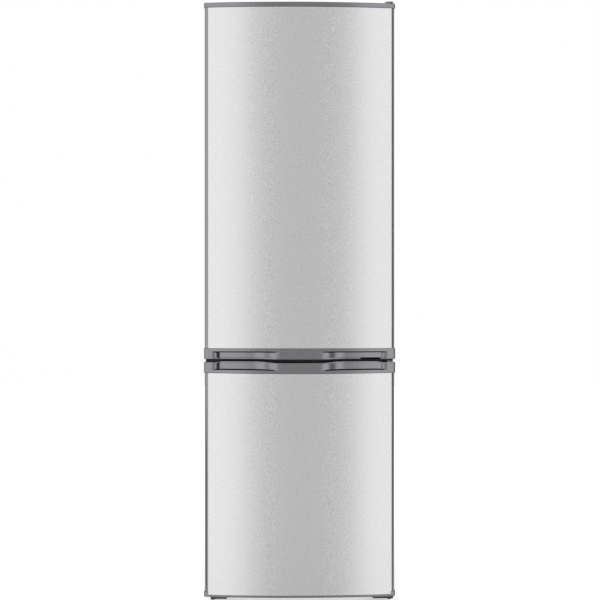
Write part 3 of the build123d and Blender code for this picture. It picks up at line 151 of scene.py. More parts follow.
print("mid grey in linear light", [round(c, 3) for c in linear("#808080")])

# %% [markdown]
# ## Floor and room light
# The appliance stands on a pale floor in a white room. The world is white where the camera, a
# gloss or a glass looks at it, and a little dimmer as a source of light, so that lamps and room
# together show a colour about as it is written. The floor glows a little where it is looked at,
# so that it stays pale round the soft shadow. It ends just in front of the doors, below the edge
# of the picture, and leaves the space ahead of them to the low cloth of the next step.

# %% White world
room_strength, white_strength = 0.72, 1.0
world = bpy.data.worlds.new("white_room")
bpy.context.scene.world = world
world.use_nodes = True
tree = world.node_tree
tree.nodes.clear()
path = add_node(tree, "ShaderNodeLightPath")
seen = add_node(tree, "ShaderNodeMath", {"operation": "MAXIMUM"},
                {0: path.outputs["Is Camera Ray"], 1: path.outputs["Is Glossy Ray"]})
seen = add_node(tree, "ShaderNodeMath", {"operation": "MAXIMUM"},
                {0: seen.outputs[0], 1: path.outputs["Is Transmission Ray"]})
room_light = add_node(tree, "ShaderNodeBackground",
                      {"Color": linear("#FBFCFF"), "Strength": room_strength})
room_white = add_node(tree, "ShaderNodeBackground",
                      {"Color": linear("#FFFFFF"), "Strength": white_strength})
mixed = add_node(tree, "ShaderNodeMixShader", {},
                 {0: seen.outputs[0], 1: room_light.outputs[0], 2: room_white.outputs[0]})
add_node(tree, "ShaderNodeOutputWorld", {}, {"Surface": mixed.outputs[0]})
print("world", world.name)

# %% Floor
floor_side, floor_ahead = 9.0, 0.05
mottle_mm, floor_glow = 60, 0.55
floor_y = cad_box[0].y - floor_ahead + floor_side / 2
bpy.ops.object.select_all(action="DESELECT")
bpy.ops.mesh.primitive_plane_add(size=floor_side, location=(0, floor_y, cad_box[0].z))
floor = bpy.context.object
floor.name = "pale_floor"
floor_paint = bpy.data.materials.new("matt_white_floor_paint")
floor_paint.use_nodes = True
tree = floor_paint.node_tree
shader = tree.nodes["Principled BSDF"]
shader.inputs["Roughness"].default_value = 0.9
shader.inputs["Specular IOR Level"].default_value = 0.1
place = add_node(tree, "ShaderNodeTexCoord")
mottle = add_node(tree, "ShaderNodeTexNoise", {"Scale": 1 / (mottle_mm * MM), "Detail": 3.0},
                  {"Vector": place.outputs["Object"]})
whites = add_node(tree, "ShaderNodeValToRGB", {}, {"Fac": mottle.outputs["Fac"]})
whites.color_ramp.elements[0].color = linear("#F7F7F7")
whites.color_ramp.elements[1].color = linear("#FBFBFB")
tree.links.new(whites.outputs["Color"], shader.inputs["Base Color"])
path = add_node(tree, "ShaderNodeLightPath")
seen = add_node(tree, "ShaderNodeMath", {"operation": "MAXIMUM"},
                {0: path.outputs["Is Camera Ray"], 1: path.outputs["Is Glossy Ray"]})
glow = add_node(tree, "ShaderNodeMath", {"operation": "MULTIPLY", 1: floor_glow}, {0: seen.outputs[0]})
shader.inputs["Emission Color"].default_value = linear("#FFFFFF")
tree.links.new(glow.outputs[0], shader.inputs["Emission Strength"])
floor.data.materials.append(floor_paint)
print("floor", floor.name)

# %% [markdown]
# ## Soft boxes and flags
# The bowed sheet works as a tall mirror: its middle shows what stands behind the camera, its
# edges show what stands to the sides. The picture is darkest in the middle and bright from a
# third of the way out, so two tall soft boxes stand left and right of the camera. The rounded
# left edge of the doors is bright at the top and dim at the foot, so a third box stands high on
# that side with a grey cloth under it. Faces turned to the right or downwards are dark, so more
# cloths hang beyond the right box and lie low in front of the doors, as flags in a product studio.

# %% Soft boxes
def soft_box(name, middle, heading, width, height, brightness):
    """Tall area lamp turned about the upright axis; brightness is its look in a perfect mirror."""
    bpy.ops.object.select_all(action="DESELECT")
    bpy.ops.object.light_add(type="AREA", location=middle, rotation=(pi / 2, 0, heading))
    lamp = bpy.context.object
    lamp.name = name
    lamp.data.shape = "RECTANGLE"
    lamp.data.size = width
    lamp.data.size_y = height
    lamp.data.energy = brightness * pi * width * height
    print(name, "power", round(lamp.data.energy, 1), "W")


box_y, box_z, box_height = -2.88, 0.9, 7.0
side_x, side_y, side_width = -3.4, -1.7, 2.2
soft_box("left_soft_box", middle=(-1.09, box_y, box_z), heading=0,
         width=1.02, height=box_height, brightness=0.94)
soft_box("right_soft_box", middle=(1.20, box_y, box_z), heading=0,
         width=0.88, height=box_height, brightness=1.04)
soft_box("side_soft_box", middle=(side_x, side_y, 2.3), heading=-pi / 2,
         width=side_width, height=4.2, brightness=1.2)

# %% Flags
flag_cloth = bpy.data.materials.new("grey_molton_cloth")
flag_cloth.use_nodes = True
shader = flag_cloth.node_tree.nodes["Principled BSDF"]
shader.inputs["Base Color"].default_value = linear("#9A9A9A")
shader.inputs["Roughness"].default_value = 1.0


def flag(name, place, turn, width, length):
    """Grey cloth on a frame, seen by the lamps and reflections but not by the camera."""
    bpy.ops.object.select_all(action="DESELECT")
    bpy.ops.mesh.primitive_plane_add(size=1.0, location=place, rotation=turn)
    cloth = bpy.context.object
    cloth.name = name
    cloth.scale = (width, length, 1.0)
    bpy.ops.object.transform_apply(location=True, rotation=True, scale=True)
    cloth.data.materials.append(flag_cloth)
    cloth.visible_camera = False
    print(name, "size", width, "x", length, "m")


flag_z, flag_tall = 0.95, 4.1
# Turns of a cloth: upright across the view, upright along it, and lying flat
upright_across, upright_along, lying = (pi / 2, 0, 0), (pi / 2, 0, pi / 2), (0, 0, 0)
flag("right_flag", place=(3.05, box_y, flag_z), turn=upright_across, width=2.8, length=flag_tall)
flag("far_right_flag", place=(4.45, box_y + 1.3, flag_z), turn=upright_along, width=2.6,
     length=flag_tall)
flag("left_low_flag", place=(side_x, side_y, -1.2), turn=upright_along, width=side_width, length=2.6)
flag("low_flag", place=(0, -0.75, -0.35), turn=lying, width=1.6, length=0.7)

# %% [markdown]
# ## Finishes
# Nearly every surface here is moulded, painted or rolled, and each of those has a fine grain: a
# slow drift of tone, a matching drift of gloss and, on some, a slight orange peel. One function
# makes such a finish from two tones of the colour and the size of its grain in millimetres. It
# reads Object coordinates, so the grain stays at its real size on every piece.

# %% Function for a grained finish
finishes = {}
tone_ends = (0.35, 0.65)  # the noise hardly leaves this range
peel_height = 0.1 * MM


def grained(name, slot, tones, grain_mm, gloss, peel=0.0, detail=2.0, **sockets):
    """Finish that drifts between two tones and two roughness values at the size of its grain."""
    finish = bpy.data.materials.new(name)
    finish.use_nodes = True
    tree = finish.node_tree
    shader = tree.nodes["Principled BSDF"]
    place = add_node(tree, "ShaderNodeTexCoord")
    grain = add_node(tree, "ShaderNodeTexNoise", {"Scale": 1 / (grain_mm * MM), "Detail": detail},
                     {"Vector": place.outputs["Object"]})
    colour = add_node(tree, "ShaderNodeValToRGB", {}, {"Fac": grain.outputs["Fac"]})
    for stop, end, tone in zip(colour.color_ramp.elements, tone_ends, tones):
        stop.position = end
        stop.color = linear(tone)
    rough = add_node(tree, "ShaderNodeMapRange", {"To Min": gloss[0], "To Max": gloss[1]},
                     {"Value": grain.outputs["Fac"]})
    tree.links.new(colour.outputs["Color"], shader.inputs["Base Color"])
    tree.links.new(rough.outputs["Result"], shader.inputs["Roughness"])
    if peel:
        bump = add_node(tree, "ShaderNodeBump", {"Strength": peel, "Distance": peel_height},
                        {"Height": grain.outputs["Fac"]})
        tree.links.new(bump.outputs["Normal"], shader.inputs["Normal"])
    for socket, value in sockets.items():
        shader.inputs[socket.replace("_", " ")].default_value = value
    finishes[slot] = finish


print("finish function ready")

# %% [markdown]
# ### Door sheets and grey trim
# The doors are clad in steel laminated with a silver film. Its aluminium flakes give the sheet a
# metallic look with a fine sparkle; a real flake is far too small to show, so the grain is drawn
# a few millimetres wide. Its bright spots are also the rougher ones, which keeps the sparkle as
# soft under the lamps as in the middle. The trims are moulded in ABS and sprayed in a darker
# flake paint, with its flakes drawn coarser too, so they brighten towards the edges in the same
# way as the sheet. The profiles along the sides carry a lighter shade of that paint.

# %% Silver sheet and grey trim
grained("silver_film_on_steel", "door_sheet", ("#ACACAC", "#BABABA"), 3.0, (0.12, 0.38), peel=0.02,
        detail=4.0, Metallic=1.0)
for name, slot, tones in (("grey_flake_paint_on_abs", "grey_trim", ("#6B6B6E", "#757578")),
                          ("grey_flake_paint_on_profile", "side_profile", ("#76777A", "#808184"))):
    grained(name, slot, tones, 1.6, (0.16, 0.22), peel=0.02, detail=3.0, Metallic=0.95)
print("door finishes", [finishes[slot].name for slot in ("door_sheet", "grey_trim", "side_profile")])

# %% [markdown]
# ### Cabinet metals
# The case is sheet steel with a grey polyester coat and its faint orange peel. The back panel,
# the rails and the hinges are zinc-coated: spangles about two centimetres wide on the panel, a
# dull even coat on the rest. The cooling parts and brackets are black enamelled steel, the pipes
# bare copper with its warm streaks.

# %% Metals
grained("grey_polyester_coat", "case_paint", ("#9EA0A2", "#A6A8AA"), 3.0, (0.34, 0.42), peel=0.12)
grained("zinc_coated_back_steel", "back_steel", ("#A4A7AA", "#ADB0B3"), 20.0, (0.40, 0.48),
        detail=1.0, Metallic=0.85)
grained("zinc_coated_rail_steel", "rail_steel", ("#A3A5A7", "#B1B3B5"), 5.0, (0.34, 0.44),
        Metallic=0.85)
grained("zinc_plated_hinge_steel", "hinge_steel", ("#8F9194", "#A2A4A6"), 2.0, (0.28, 0.40),
        Metallic=1.0)
grained("black_enamelled_steel", "black_steel", ("#131415", "#1D1E20"), 2.5, (0.30, 0.42), peel=0.1)
grained("bare_copper", "copper", ("#A8623F", "#C47C55"), 6.0, (0.22, 0.38), Metallic=1.0)
print("metals", [finishes[slot].name for slot in ("case_paint", "back_steel", "hinge_steel", "copper")])

# %% [markdown]
# ### White and black plastics
# The liners are vacuum formed from white polystyrene, glossy with a slow waviness. Shelf trims,
# housing and knob are moulded ABS with a soft shine. The door seals are matt PVC, feet and rollers
# are polypropylene with a fine eroded texture, the grommets dull rubber, the hinge bushes waxy
# acetal. The foam in the walls is polyurethane, matt and full of small cells, and the wires of the
# freezer shelves have a smooth white coat.

# %% Plastics
grained("formed_white_polystyrene", "white_liner", ("#E9EAE9", "#EBECEB"), 30.0, (0.25, 0.27),
        detail=1.0)
grained("moulded_white_abs", "white_trim", ("#E2E3E2", "#E9EAE9"), 2.0, (0.30, 0.40), peel=0.08)
grained("soft_grey_pvc", "seal_rubber", ("#B9BBBC", "#C4C6C6"), 3.0, (0.45, 0.58), peel=0.1)
grained("black_polypropylene", "black_plastic", ("#17181A", "#222325"), 0.9, (0.42, 0.58), peel=0.25)
grained("black_nitrile_rubber", "black_rubber", ("#121212", "#1B1B1B"), 1.2, (0.62, 0.78), peel=0.2)
grained("white_acetal", "bush_plastic", ("#DAD9D2", "#E4E3DD"), 1.5, (0.32, 0.42))
grained("polyurethane_foam", "insulation_foam", ("#D9C689", "#E6D7A2"), 1.2, (0.85, 0.95), peel=0.6)
grained("white_coated_wire", "white_wire", ("#E3E5E6", "#ECEEEE"), 2.0, (0.26, 0.36), peel=0.05)
print("plastics", [finishes[slot].name for slot in ("white_liner", "white_trim", "black_plastic")])

# %% [markdown]
# ### Clear pieces
# Shelves are toughened float glass with its green edge. Drawers and door bins are clear
# polystyrene, slightly blue and not quite smooth. Their walls are thin and darken little, so they
# bend the light less than a solid block would and keep a share of plain white. The lamp cover is
# frosted on its inside, so that it spreads the bulb's light.

# %% Clear finishes
grained("toughened_float_glass", "shelf_glass", ("#E4F1EA", "#E9F4EE"), 40.0, (0.015, 0.03),
        Transmission_Weight=1.0, IOR=1.52)
grained("clear_polystyrene", "clear_drawer", ("#F0F5F8", "#F5F9FB"), 9.0, (0.06, 0.12), peel=0.03,
        Transmission_Weight=0.75, IOR=1.35)
grained("frosted_polycarbonate", "lamp_diffuser", ("#F1F2EE", "#F7F8F4"), 1.0, (0.42, 0.55), peel=0.15,
        Transmission_Weight=0.6, IOR=1.58)
print("clear", [finishes[slot].name for slot in ("shelf_glass", "clear_drawer", "lamp_diffuser")])

# %% [markdown]
# ### Dressing the nodes
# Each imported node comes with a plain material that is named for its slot. It is swapped for the
# finish of that slot, so that a node that isn't modelled again below looks right as well.

# %% Dress every CAD node in the finish of its slot
slot_of = {}
for name, solid in nodes.items():
    slot_of[name] = solid.material_slots[0].material.name.split(".")[0]
    solid.material_slots[0].material = finishes[slot_of[name]]
print("dressed", len(slot_of), "nodes in", len(set(slot_of.values())), "finishes")

# %% [markdown]
# ## Bowed door sheets
# Each door sheet is bent round a radius of about two metres. A solid's own mesh shows that bend
# as a few flat strips, so the sheet is made again: one upright edge is spun about the far axis
# of the bow in many small steps, its ends are folded back round the foam, and Solidify gives the
# sheet its thickness inwards. The trim over the lower door rises towards the sides, so that
# sheet reaches a little higher and is tucked behind the trim in the middle.

# %% Modelling helpers
hair, weld = 0.1 * MM, 0.01 * MM


def edit(piece):
    """Make one piece active and open it in edit mode with nothing selected."""
    bpy.ops.object.select_all(action="DESELECT")
    bpy.context.view_layer.objects.active = piece
    piece.select_set(True)
    bpy.ops.object.mode_set(mode="EDIT")
    bpy.ops.mesh.select_all(action="DESELECT")


def pick(piece, kind, test):
    """Select only the vertices, edges or faces whose middle passes a test, in edit mode."""
    bpy.ops.mesh.select_all(action="DESELECT")
    bpy.ops.object.mode_set(mode="OBJECT")
    mesh = piece.data
    for part in getattr(mesh, kind):
        if kind == "vertices":
            middle = part.co
        else:
            corners = [mesh.vertices[i].co for i in part.vertices]
            middle = sum(corners, Vector()) / len(corners)
        part.select = test(middle)
    bpy.ops.object.mode_set(mode="EDIT")


def wall_behind(piece, thickness):
    """Turn an open sheet to the front and give it a wall behind its face."""
    if sum(face.normal.y * face.area for face in piece.data.polygons) > 0:
        edit(piece)
        bpy.ops.mesh.select_all(action="SELECT")
        bpy.ops.mesh.flip_normals()
        bpy.ops.object.mode_set(mode="OBJECT")
    wall = piece.modifiers.new("wall", "SOLIDIFY")
    wall.thickness = thickness
    wall.offset = -1.0
    bpy.ops.object.modifier_apply(modifier="wall")


def smooth_and_flat(piece, degrees):
    """Shade small bends smooth and keep broad faces flat."""
    bpy.ops.object.shade_smooth_by_angle(angle=radians(degrees))
    flat = piece.modifiers.new("flat", "WEIGHTED_NORMAL")
    flat.keep_sharp = True
    bpy.ops.object.modifier_apply(modifier="flat")


print("modelling helpers ready")

# %% Door sheets
bow_depth, cabinet_half, bow_steps = 18 * MM, 272.5 * MM, 72
bow_radius = (cabinet_half ** 2 + bow_depth ** 2) / (2 * bow_depth)
sheet_wall, sheet_half = 1 * MM, 266.5 * MM
fold_radius, fold_degrees = 0.4 * MM, 40
plain_rise = 2.6 * MM


def bowed_sheet(name, node, tuck=0.0):
    """Spin one upright edge round the bow and fold its ends back, in the place of a CAD sheet."""
    low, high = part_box(node)
    high.z += tuck
    height = high.z - low.z
    axis_y = low.y + bow_radius
    half_turn = asin(sheet_half / bow_radius)
    edge_y = axis_y - bow_radius * cos(half_turn)
    bpy.ops.object.select_all(action="DESELECT")
    bpy.ops.mesh.primitive_plane_add(size=height, rotation=(0, pi / 2, 0),
                                     location=(-sheet_half, edge_y + height / 2, (low.z + high.z) / 2))
    piece = bpy.context.object
    piece.name = name
    bpy.ops.object.transform_apply(location=True, rotation=True, scale=True)
    edit(piece)
    bpy.ops.mesh.select_mode(type="VERT")
    pick(piece, "vertices", lambda v: v.y > edge_y + height / 2)
    bpy.ops.mesh.delete(type="VERT")
    bpy.ops.mesh.select_all(action="SELECT")
    bpy.ops.mesh.spin(steps=bow_steps, angle=-2 * half_turn, center=(0, axis_y, 0), axis=(0, 0, 1))
    bpy.ops.mesh.select_mode(type="EDGE")
    pick(piece, "edges", lambda m: abs(m.x) > sheet_half - hair)
    bpy.ops.mesh.extrude_region_move(TRANSFORM_OT_translate={"value": (0, high.y - edge_y, 0)})
    bpy.ops.mesh.select_all(action="SELECT")
    bpy.ops.mesh.remove_doubles(threshold=weld)
    bpy.ops.mesh.normals_make_consistent(inside=False)
    bpy.ops.object.mode_set(mode="OBJECT")
    wall_behind(piece, sheet_wall)
    fold = piece.modifiers.new("fold", "BEVEL")
    fold.width = fold_radius
    fold.segments = 2
    fold.limit_method = "ANGLE"
    fold.angle_limit = radians(fold_degrees)
    bpy.ops.object.modifier_apply(modifier="fold")
    smooth_and_flat(piece, 35)
    piece.data.materials.append(finishes[slot_of[node]])
    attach(piece, body_of(nodes[node])[0])
    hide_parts(node)
    print(name, "faces", len(piece.data.polygons), "size", in_mm(piece.dimensions))


bowed_sheet("upper_sheet", "upper_door_skin")
bowed_sheet("lower_sheet", "lower_door_skin", plain_rise)

# %% [markdown]
# ## Grip trims
# The two trims between the doors are what a hand takes hold of, and the hardest shape here: a
# bowed front with a flush middle, ramps that sink into a hollow on either side, end blocks, a
# groove beside a band and a lip along the gap. Boxes and cuts would leave steps on the ramps, so
# the front is one fine grid. Each column has its place along the bow and a share of the hollow's
# depth, each row has its height and its full depth. The rim of the grid is then extruded to the
# back of the door and closed. A flat mirror would show the bright room even at the bottom of a
# groove, so the groove and the notch have slanted backs that face down and stay dark.

# %% Columns across a trim
plateau_half, ramp_half = 50 * MM, 134 * MM
hollow_half, block_half = 229 * MM, 255 * MM
trim_half, trim_corner, trim_proud = 274.5 * MM, 4.4 * MM, 1.5 * MM
wall_power = 2.5  # the end wall of the hollow starts steep and runs out softly
plateau_steps, ramp_steps, hollow_steps, wall_steps, block_steps, corner_steps = 6, 22, 10, 14, 4, 5
trim_axis_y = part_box("upper_door_skin")[0].y + bow_radius


def curve(start, pull, other_pull, end, t):
    """Value along a curve with two ends and two pulls, like the handles of a drawn curve."""
    rest = 1 - t
    return rest ** 3 * start + 3 * t * rest ** 2 * pull + 3 * t * t * rest * other_pull + t ** 3 * end


def spread(start, end, count):
    """Even steps that follow a start, up to and with the end."""
    return [start + (end - start) * step / count for step in range(1, count + 1)]


ramp_mid = (plateau_half + ramp_half) / 2
half_columns = [(0.0, 0.0)] + [(x, 0.0) for x in spread(0, plateau_half, plateau_steps)]
half_columns += [(curve(plateau_half, ramp_mid, ramp_mid, ramp_half, t), curve(0, 0, 1, 1, t))
                 for t in spread(0, 1, ramp_steps)]
half_columns += [(x, 1.0) for x in spread(ramp_half, hollow_half, hollow_steps)]
half_columns += [(hollow_half + (block_half - hollow_half) * t, (1 - t) ** wall_power)
                 for t in spread(0, 1, wall_steps)]
half_columns += [(x, 0.0) for x in spread(block_half, trim_half - trim_corner, block_steps)]


def trim_columns(cuts):
    """Place across, front on the bow and share of the depth, with two close columns at each cut."""
    across, shares = zip(*half_columns)
    places = sorted(list(across) + [cut + off for cut in cuts for off in (-hair, hair)])
    front_radius = bow_radius + trim_proud
    right = [(x, trim_axis_y - sqrt(front_radius ** 2 - x * x), float(interp(x, across, shares)))
             for x in places]
    corner_x, corner_y = trim_half - trim_corner, right[-1][1] + trim_corner
    for turn in spread(0, pi / 2, corner_steps):
        right.append((corner_x + trim_corner * sin(turn), corner_y - trim_corner * cos(turn), 0.0))
    return [(-x, y, share) for x, y, share in right[:0:-1]] + right


print("columns across a trim", len(trim_columns([])))

# %% Rows up a trim
groove_depth, groove_tall = 24 * MM, 3.2 * MM
hollow_depth, lip_depth = 10 * MM, 7 * MM
rim, soft_rim = 0.5 * MM, 3 * MM
# Round of the plain edge, in shares of its height and of the step down to the sheet
soft_curve = ((0, 1), (0.25, 0.5), (0.55, 0.18), (1, 0))
# Round of the waved edge, as distance from it and added depth, in rims
lip_curve = ((3, 0), (1.4, 0.5), (0.4, 1.4), (0, 3))


def trim_rows(tall, way, band, lip):
    """Height over the plain edge and depth at a share of the hollow for every row of a trim."""
    groove_ends = (groove_depth, hollow_depth) if way > 0 else (rim, groove_depth)
    groove_end = band + groove_tall
    rows = [(up * soft_rim, lambda s, step=step: step * trim_proud) for up, step in soft_curve]
    rows += [(band - rim, lambda s: 0), (band - 0.3 * rim, lambda s: min(0.3 * rim, groove_depth * s)),
             (band, lambda s: min(rim, groove_depth * s))]
    rows += [(band, lambda s: groove_ends[0] * s), (groove_end, lambda s: groove_ends[1] * s)]
    rows += [(groove_end, lambda s: hollow_depth * s), (tall - lip, lambda s: hollow_depth * s)]
    lip_rows = [(tall - lip, lambda s: min(lip_depth * s + rim, hollow_depth * s)),
                (tall - lip + rim, lambda s: lip_depth * s)]
    lip_rows += [(tall - off * rim, lambda s, more=more: lip_depth * s + more * rim)
                 for off, more in lip_curve]
    return rows + lip_rows, len(rows)


print("rows ready, groove", in_mm([groove_depth]), "hollow", in_mm([hollow_depth]), "mm deep")

# %% Function for a grip trim
end_round = 2 * MM
drop_span = (hollow_half - 6 * MM, hollow_half + 10 * MM)
first_draw = 10 * MM


def grip_trim(name, node, plain_z, edge_z, band, lip, dip, rise=0.0, end_drop=0.0, cuts=(),
              cut_depth=0.0):
    """Fine front of a trim from its plain edge to its waved edge, with the wall behind it."""
    tall = abs(edge_z - plain_z)
    way = 1 if edge_z > plain_z else -1
    rows, first_lip_row = trim_rows(tall, way, band, lip)
    columns = trim_columns(cuts)
    last_column, last_row = len(columns) - 1, len(rows) - 1
    bpy.ops.object.select_all(action="DESELECT")
    bpy.ops.mesh.primitive_grid_add(x_subdivisions=last_column, y_subdivisions=last_row, size=1)
    piece = bpy.context.object
    piece.name = name
    for vertex in piece.data.vertices:
        x, y, share = columns[round((vertex.co.x + 0.5) * last_column)]
        row = round((vertex.co.y + 0.5) * last_row)
        up, depth = rows[row]
        sunk = depth(share)
        # The notch slants in through the lip
        if cuts and cuts[0] < x < cuts[1] and row >= first_lip_row:
            sunk += cut_depth * (up - tall + lip) / lip
        # The waved edge dips in the middle, its corners are round and the blocks may stand lower
        wave = dip * (1 - share) if abs(x) < ramp_half else 0
        past = max(0, abs(x) - trim_half + end_round)
        short = end_round - sqrt(max(0, end_round ** 2 - past ** 2))
        short += end_drop * interp(abs(x), drop_span, (0, 1))
        # The plain edge may rise towards the sides
        start = rise * (x / trim_half) ** 2
        reach = (tall - way * wave - short - start) / tall
        vertex.co = (x, y + sunk, plain_z + way * (start + up * reach))
    edit(piece)
    bpy.ops.mesh.select_all(action="SELECT")
    bpy.ops.mesh.remove_doubles(threshold=weld)
    bpy.ops.mesh.select_mode(type="EDGE")
    bpy.ops.mesh.select_all(action="DESELECT")
    bpy.ops.mesh.select_non_manifold(use_wire=False, use_multi_face=False, use_non_contiguous=False,
                                     use_verts=False)
    back_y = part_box(node)[1].y
    # The rim is drawn back a little and then pressed flat at the back of the door
    bpy.ops.mesh.extrude_region_move(TRANSFORM_OT_translate={"value": (0, first_draw, 0)})
    bpy.ops.transform.resize(value=(1, 0, 1), center_override=(0, back_y, 0))
    bpy.ops.mesh.edge_face_add()
    bpy.ops.mesh.select_all(action="SELECT")
    bpy.ops.mesh.normals_make_consistent(inside=False)
    bpy.ops.object.mode_set(mode="OBJECT")
    smooth_and_flat(piece, 35)
    piece.data.materials.append(finishes[slot_of[node]])
    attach(piece, body_of(nodes[node])[0])
    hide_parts(node)
    print(name, "faces", len(piece.data.polygons), "size", in_mm(piece.dimensions))


print("grip function ready, end blocks step down between", in_mm(drop_span), "mm")

# %% Both grip trims
edge_clear, block_drop = 2.6 * MM, 2.6 * MM
notch_sides, notch_depth = (174 * MM, 231 * MM), 38 * MM
upper_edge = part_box("upper_door_handle")[0].z + edge_clear
lower_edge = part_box("lower_door_handle")[1].z
grip_trim("upper_grip", "upper_door_handle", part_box("upper_door_skin")[0].z, upper_edge,
          band=9 * MM, lip=4.5 * MM, dip=1.3 * MM, cuts=notch_sides, cut_depth=notch_depth)
grip_trim("lower_grip", "lower_door_handle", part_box("lower_door_skin")[1].z, lower_edge,
          band=10.5 * MM, lip=3.5 * MM, dip=5.0 * MM, rise=plain_rise, end_drop=block_drop)

# %% [markdown]
# ## Moulded edges
# A CAD solid has knife-sharp edges, while anything moulded, pressed or cast has a small radius
# that catches a thin line of light. A copy of the solid gets its loose triangles merged, flat
# neighbours joined into one face, and a Bevel on every sharp edge. The copy then stands for the
# node, so the node itself stays as it was imported.

# %% Function that rounds a copy of a node
merge_gap, flat_degrees, sharp_degrees = 0.004 * MM, 0.3, 40


def rounded_copy(node, radius_mm, steps=2):
    """Copy of a CAD solid with its sharp edges rounded, shown in its place."""
    source = nodes[node]
    piece = bpy.data.objects.new(node + "_rounded", source.data.copy())
    bpy.context.collection.objects.link(piece)
    edit(piece)
    bpy.ops.mesh.select_all(action="SELECT")
    bpy.ops.mesh.customdata_custom_splitnormals_clear()
    bpy.ops.mesh.remove_doubles(threshold=merge_gap)
    bpy.ops.mesh.dissolve_limited(angle_limit=radians(flat_degrees))
    bpy.ops.object.mode_set(mode="OBJECT")
    if radius_mm:
        edge = piece.modifiers.new("edge", "BEVEL")
        edge.width = radius_mm * MM
        edge.segments = steps
        edge.limit_method = "ANGLE"
        edge.angle_limit = radians(sharp_degrees)
        edge.use_clamp_overlap = False
        edge.miter_outer = "MITER_ARC"
        bpy.ops.object.modifier_apply(modifier="edge")
    smooth_and_flat(piece, sharp_degrees)
    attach(piece, body_of(source)[0])
    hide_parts(node)
    print(piece.name, "faces", len(piece.data.polygons))


print("rounding function ready for edges sharper than", sharp_degrees, "degrees")

# %% Door trims
cap_radii = {"upper_door_top_cap": 2.2, "lower_door_bottom_cap": 1.2, "hinge_cover": 1.2}
for node, radius in cap_radii.items():
    rounded_copy(node, radius, steps=3)

# %% [markdown]
# ## Side trims
# Along both sides of each door runs a grey profile that rolls round the edge of the sheet. Its
# quarter round shows the whole side of the room in ten millimetres of width, so the left one
# shines and the right one is dark. A circle is stretched, cut down to a quarter, drawn back along
# the side of the door and then drawn up to the height of the sheet. The right one shows less of
# its roll in the picture, so it starts a little further out.

# %% Side trims of both doors
roll_depth, roll_points, profile_wall = 11 * MM, 64, 1.2 * MM
inner_edges = ((-1, 262.5 * MM), (1, 264.3 * MM))
for door, lift in (("upper", 0), ("lower", plain_rise)):
    node = door + "_door_side_trims"
    low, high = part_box(node)
    roll_y = low.y + roll_depth
    profile_height = high.z + lift - low.z
    sides = []
    for side, inner in inner_edges:
        bpy.ops.object.select_all(action="DESELECT")
        bpy.ops.mesh.primitive_circle_add(vertices=roll_points, radius=1,
                                          location=(side * inner, roll_y, low.z))
        profile = bpy.context.object
        profile.scale = (high.x - inner, roll_depth, 1)
        bpy.ops.object.transform_apply(location=True, rotation=True, scale=True)
        edit(profile)
        bpy.ops.mesh.select_mode(type="VERT")
        pick(profile, "vertices", lambda v: v.y > roll_y + hair or side * v.x < inner - hair)
        bpy.ops.mesh.delete(type="VERT")
        pick(profile, "vertices", lambda v: v.y > roll_y - hair)
        bpy.ops.mesh.extrude_region_move(TRANSFORM_OT_translate={"value": (0, high.y - roll_y, 0)})
        bpy.ops.mesh.select_all(action="SELECT")
        bpy.ops.mesh.extrude_region_move(TRANSFORM_OT_translate={"value": (0, 0, profile_height)})
        bpy.ops.mesh.select_all(action="SELECT")
        bpy.ops.mesh.normals_make_consistent(inside=False)
        bpy.ops.object.mode_set(mode="OBJECT")
        wall_behind(profile, profile_wall)
        bpy.ops.object.shade_smooth_by_angle(angle=radians(35))
        sides.append(profile)
    trims = sides[0]
    trims.select_set(True)
    bpy.context.view_layer.objects.active = trims
    bpy.ops.object.join()
    trims.name = door + "_side_rolls"
    trims.data.materials.append(finishes["side_profile"])
    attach(trims, door + "_door")
    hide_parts(node)
    print(trims.name, "faces", len(trims.data.polygons), "size", in_mm(trims.dimensions))

# %% [markdown]
# ## Cabinet, inside and machine parts
# The same function rounds the rest, each piece with the radius in millimetres that its making
# leaves: a few tenths on cut sheet steel, half a millimetre to a whole one on mouldings. Tubes
# and wires are round already, so with a radius of nought their copies are only merged and shaded.

# %% Cabinet and formed liners
cabinet_radii = {"outer_case": 0.4, "back_panel": 0.3, "base_pan": 0.4, "front_rail": 0.6,
                 "divider_rail": 0.8, "fridge_liner": 0.8, "freezer_liner": 0.8,
                 "upper_door_liner": 0.8, "lower_door_liner": 0.8, "upper_door_gasket": 0.6,
                 "lower_door_gasket": 0.6}
for node, radius in cabinet_radii.items():
    rounded_copy(node, radius)

# %% Shelves, drawers and small mouldings
inside_radii = {"glass_shelf_1": 0.7, "glass_shelf_2": 0.7, "glass_shelf_3": 0.7, "crisper_cover": 0.7,
                "shelf_trims": 0.6, "crisper_drawer": 0.6, "freezer_drawer_1": 0.6,
                "freezer_drawer_2": 0.6, "freezer_drawer_3": 0.6, "door_bin_1": 0.5,
                "door_bin_2": 0.5, "door_bin_3": 0.5, "control_housing": 1.2, "lamp_cover": 0.8,
                "thermostat_knob": 0.5, "door_switch_button": 0.5}
for node, radius in inside_radii.items():
    rounded_copy(node, radius)

# %% Hinges, feet and machine parts
machine_radii = {"top_hinge": 0.4, "middle_hinge": 0.4, "bottom_hinge": 0.4, "foot_brackets": 0.4,
                 "left_front_foot": 0.5, "right_front_foot": 0.5, "left_rear_roller": 0.6,
                 "right_rear_roller": 0.6, "upper_door_bushes": 0.2, "lower_door_bushes": 0.2,
                 "compressor": 1.0, "compressor_relay_box": 1.2, "compressor_grommets": 0.6,
                 "evaporation_tray": 0.6, "condenser_clips": 0.5, "filter_drier": 0,
                 "refrigerant_pipes": 0, "evaporator_shelf_1": 0, "evaporator_shelf_2": 0}
for node, radius in machine_radii.items():
    rounded_copy(node, radius)

# %% [markdown]
# ## Hinge washers
# The doors turn on a pin between them, and a black washer above and below the hinge arm keeps
# their trims apart. From the front they darken the right end of the gap. A disc is inset and
# the middle raised, so that it has a collar like a moulded washer.

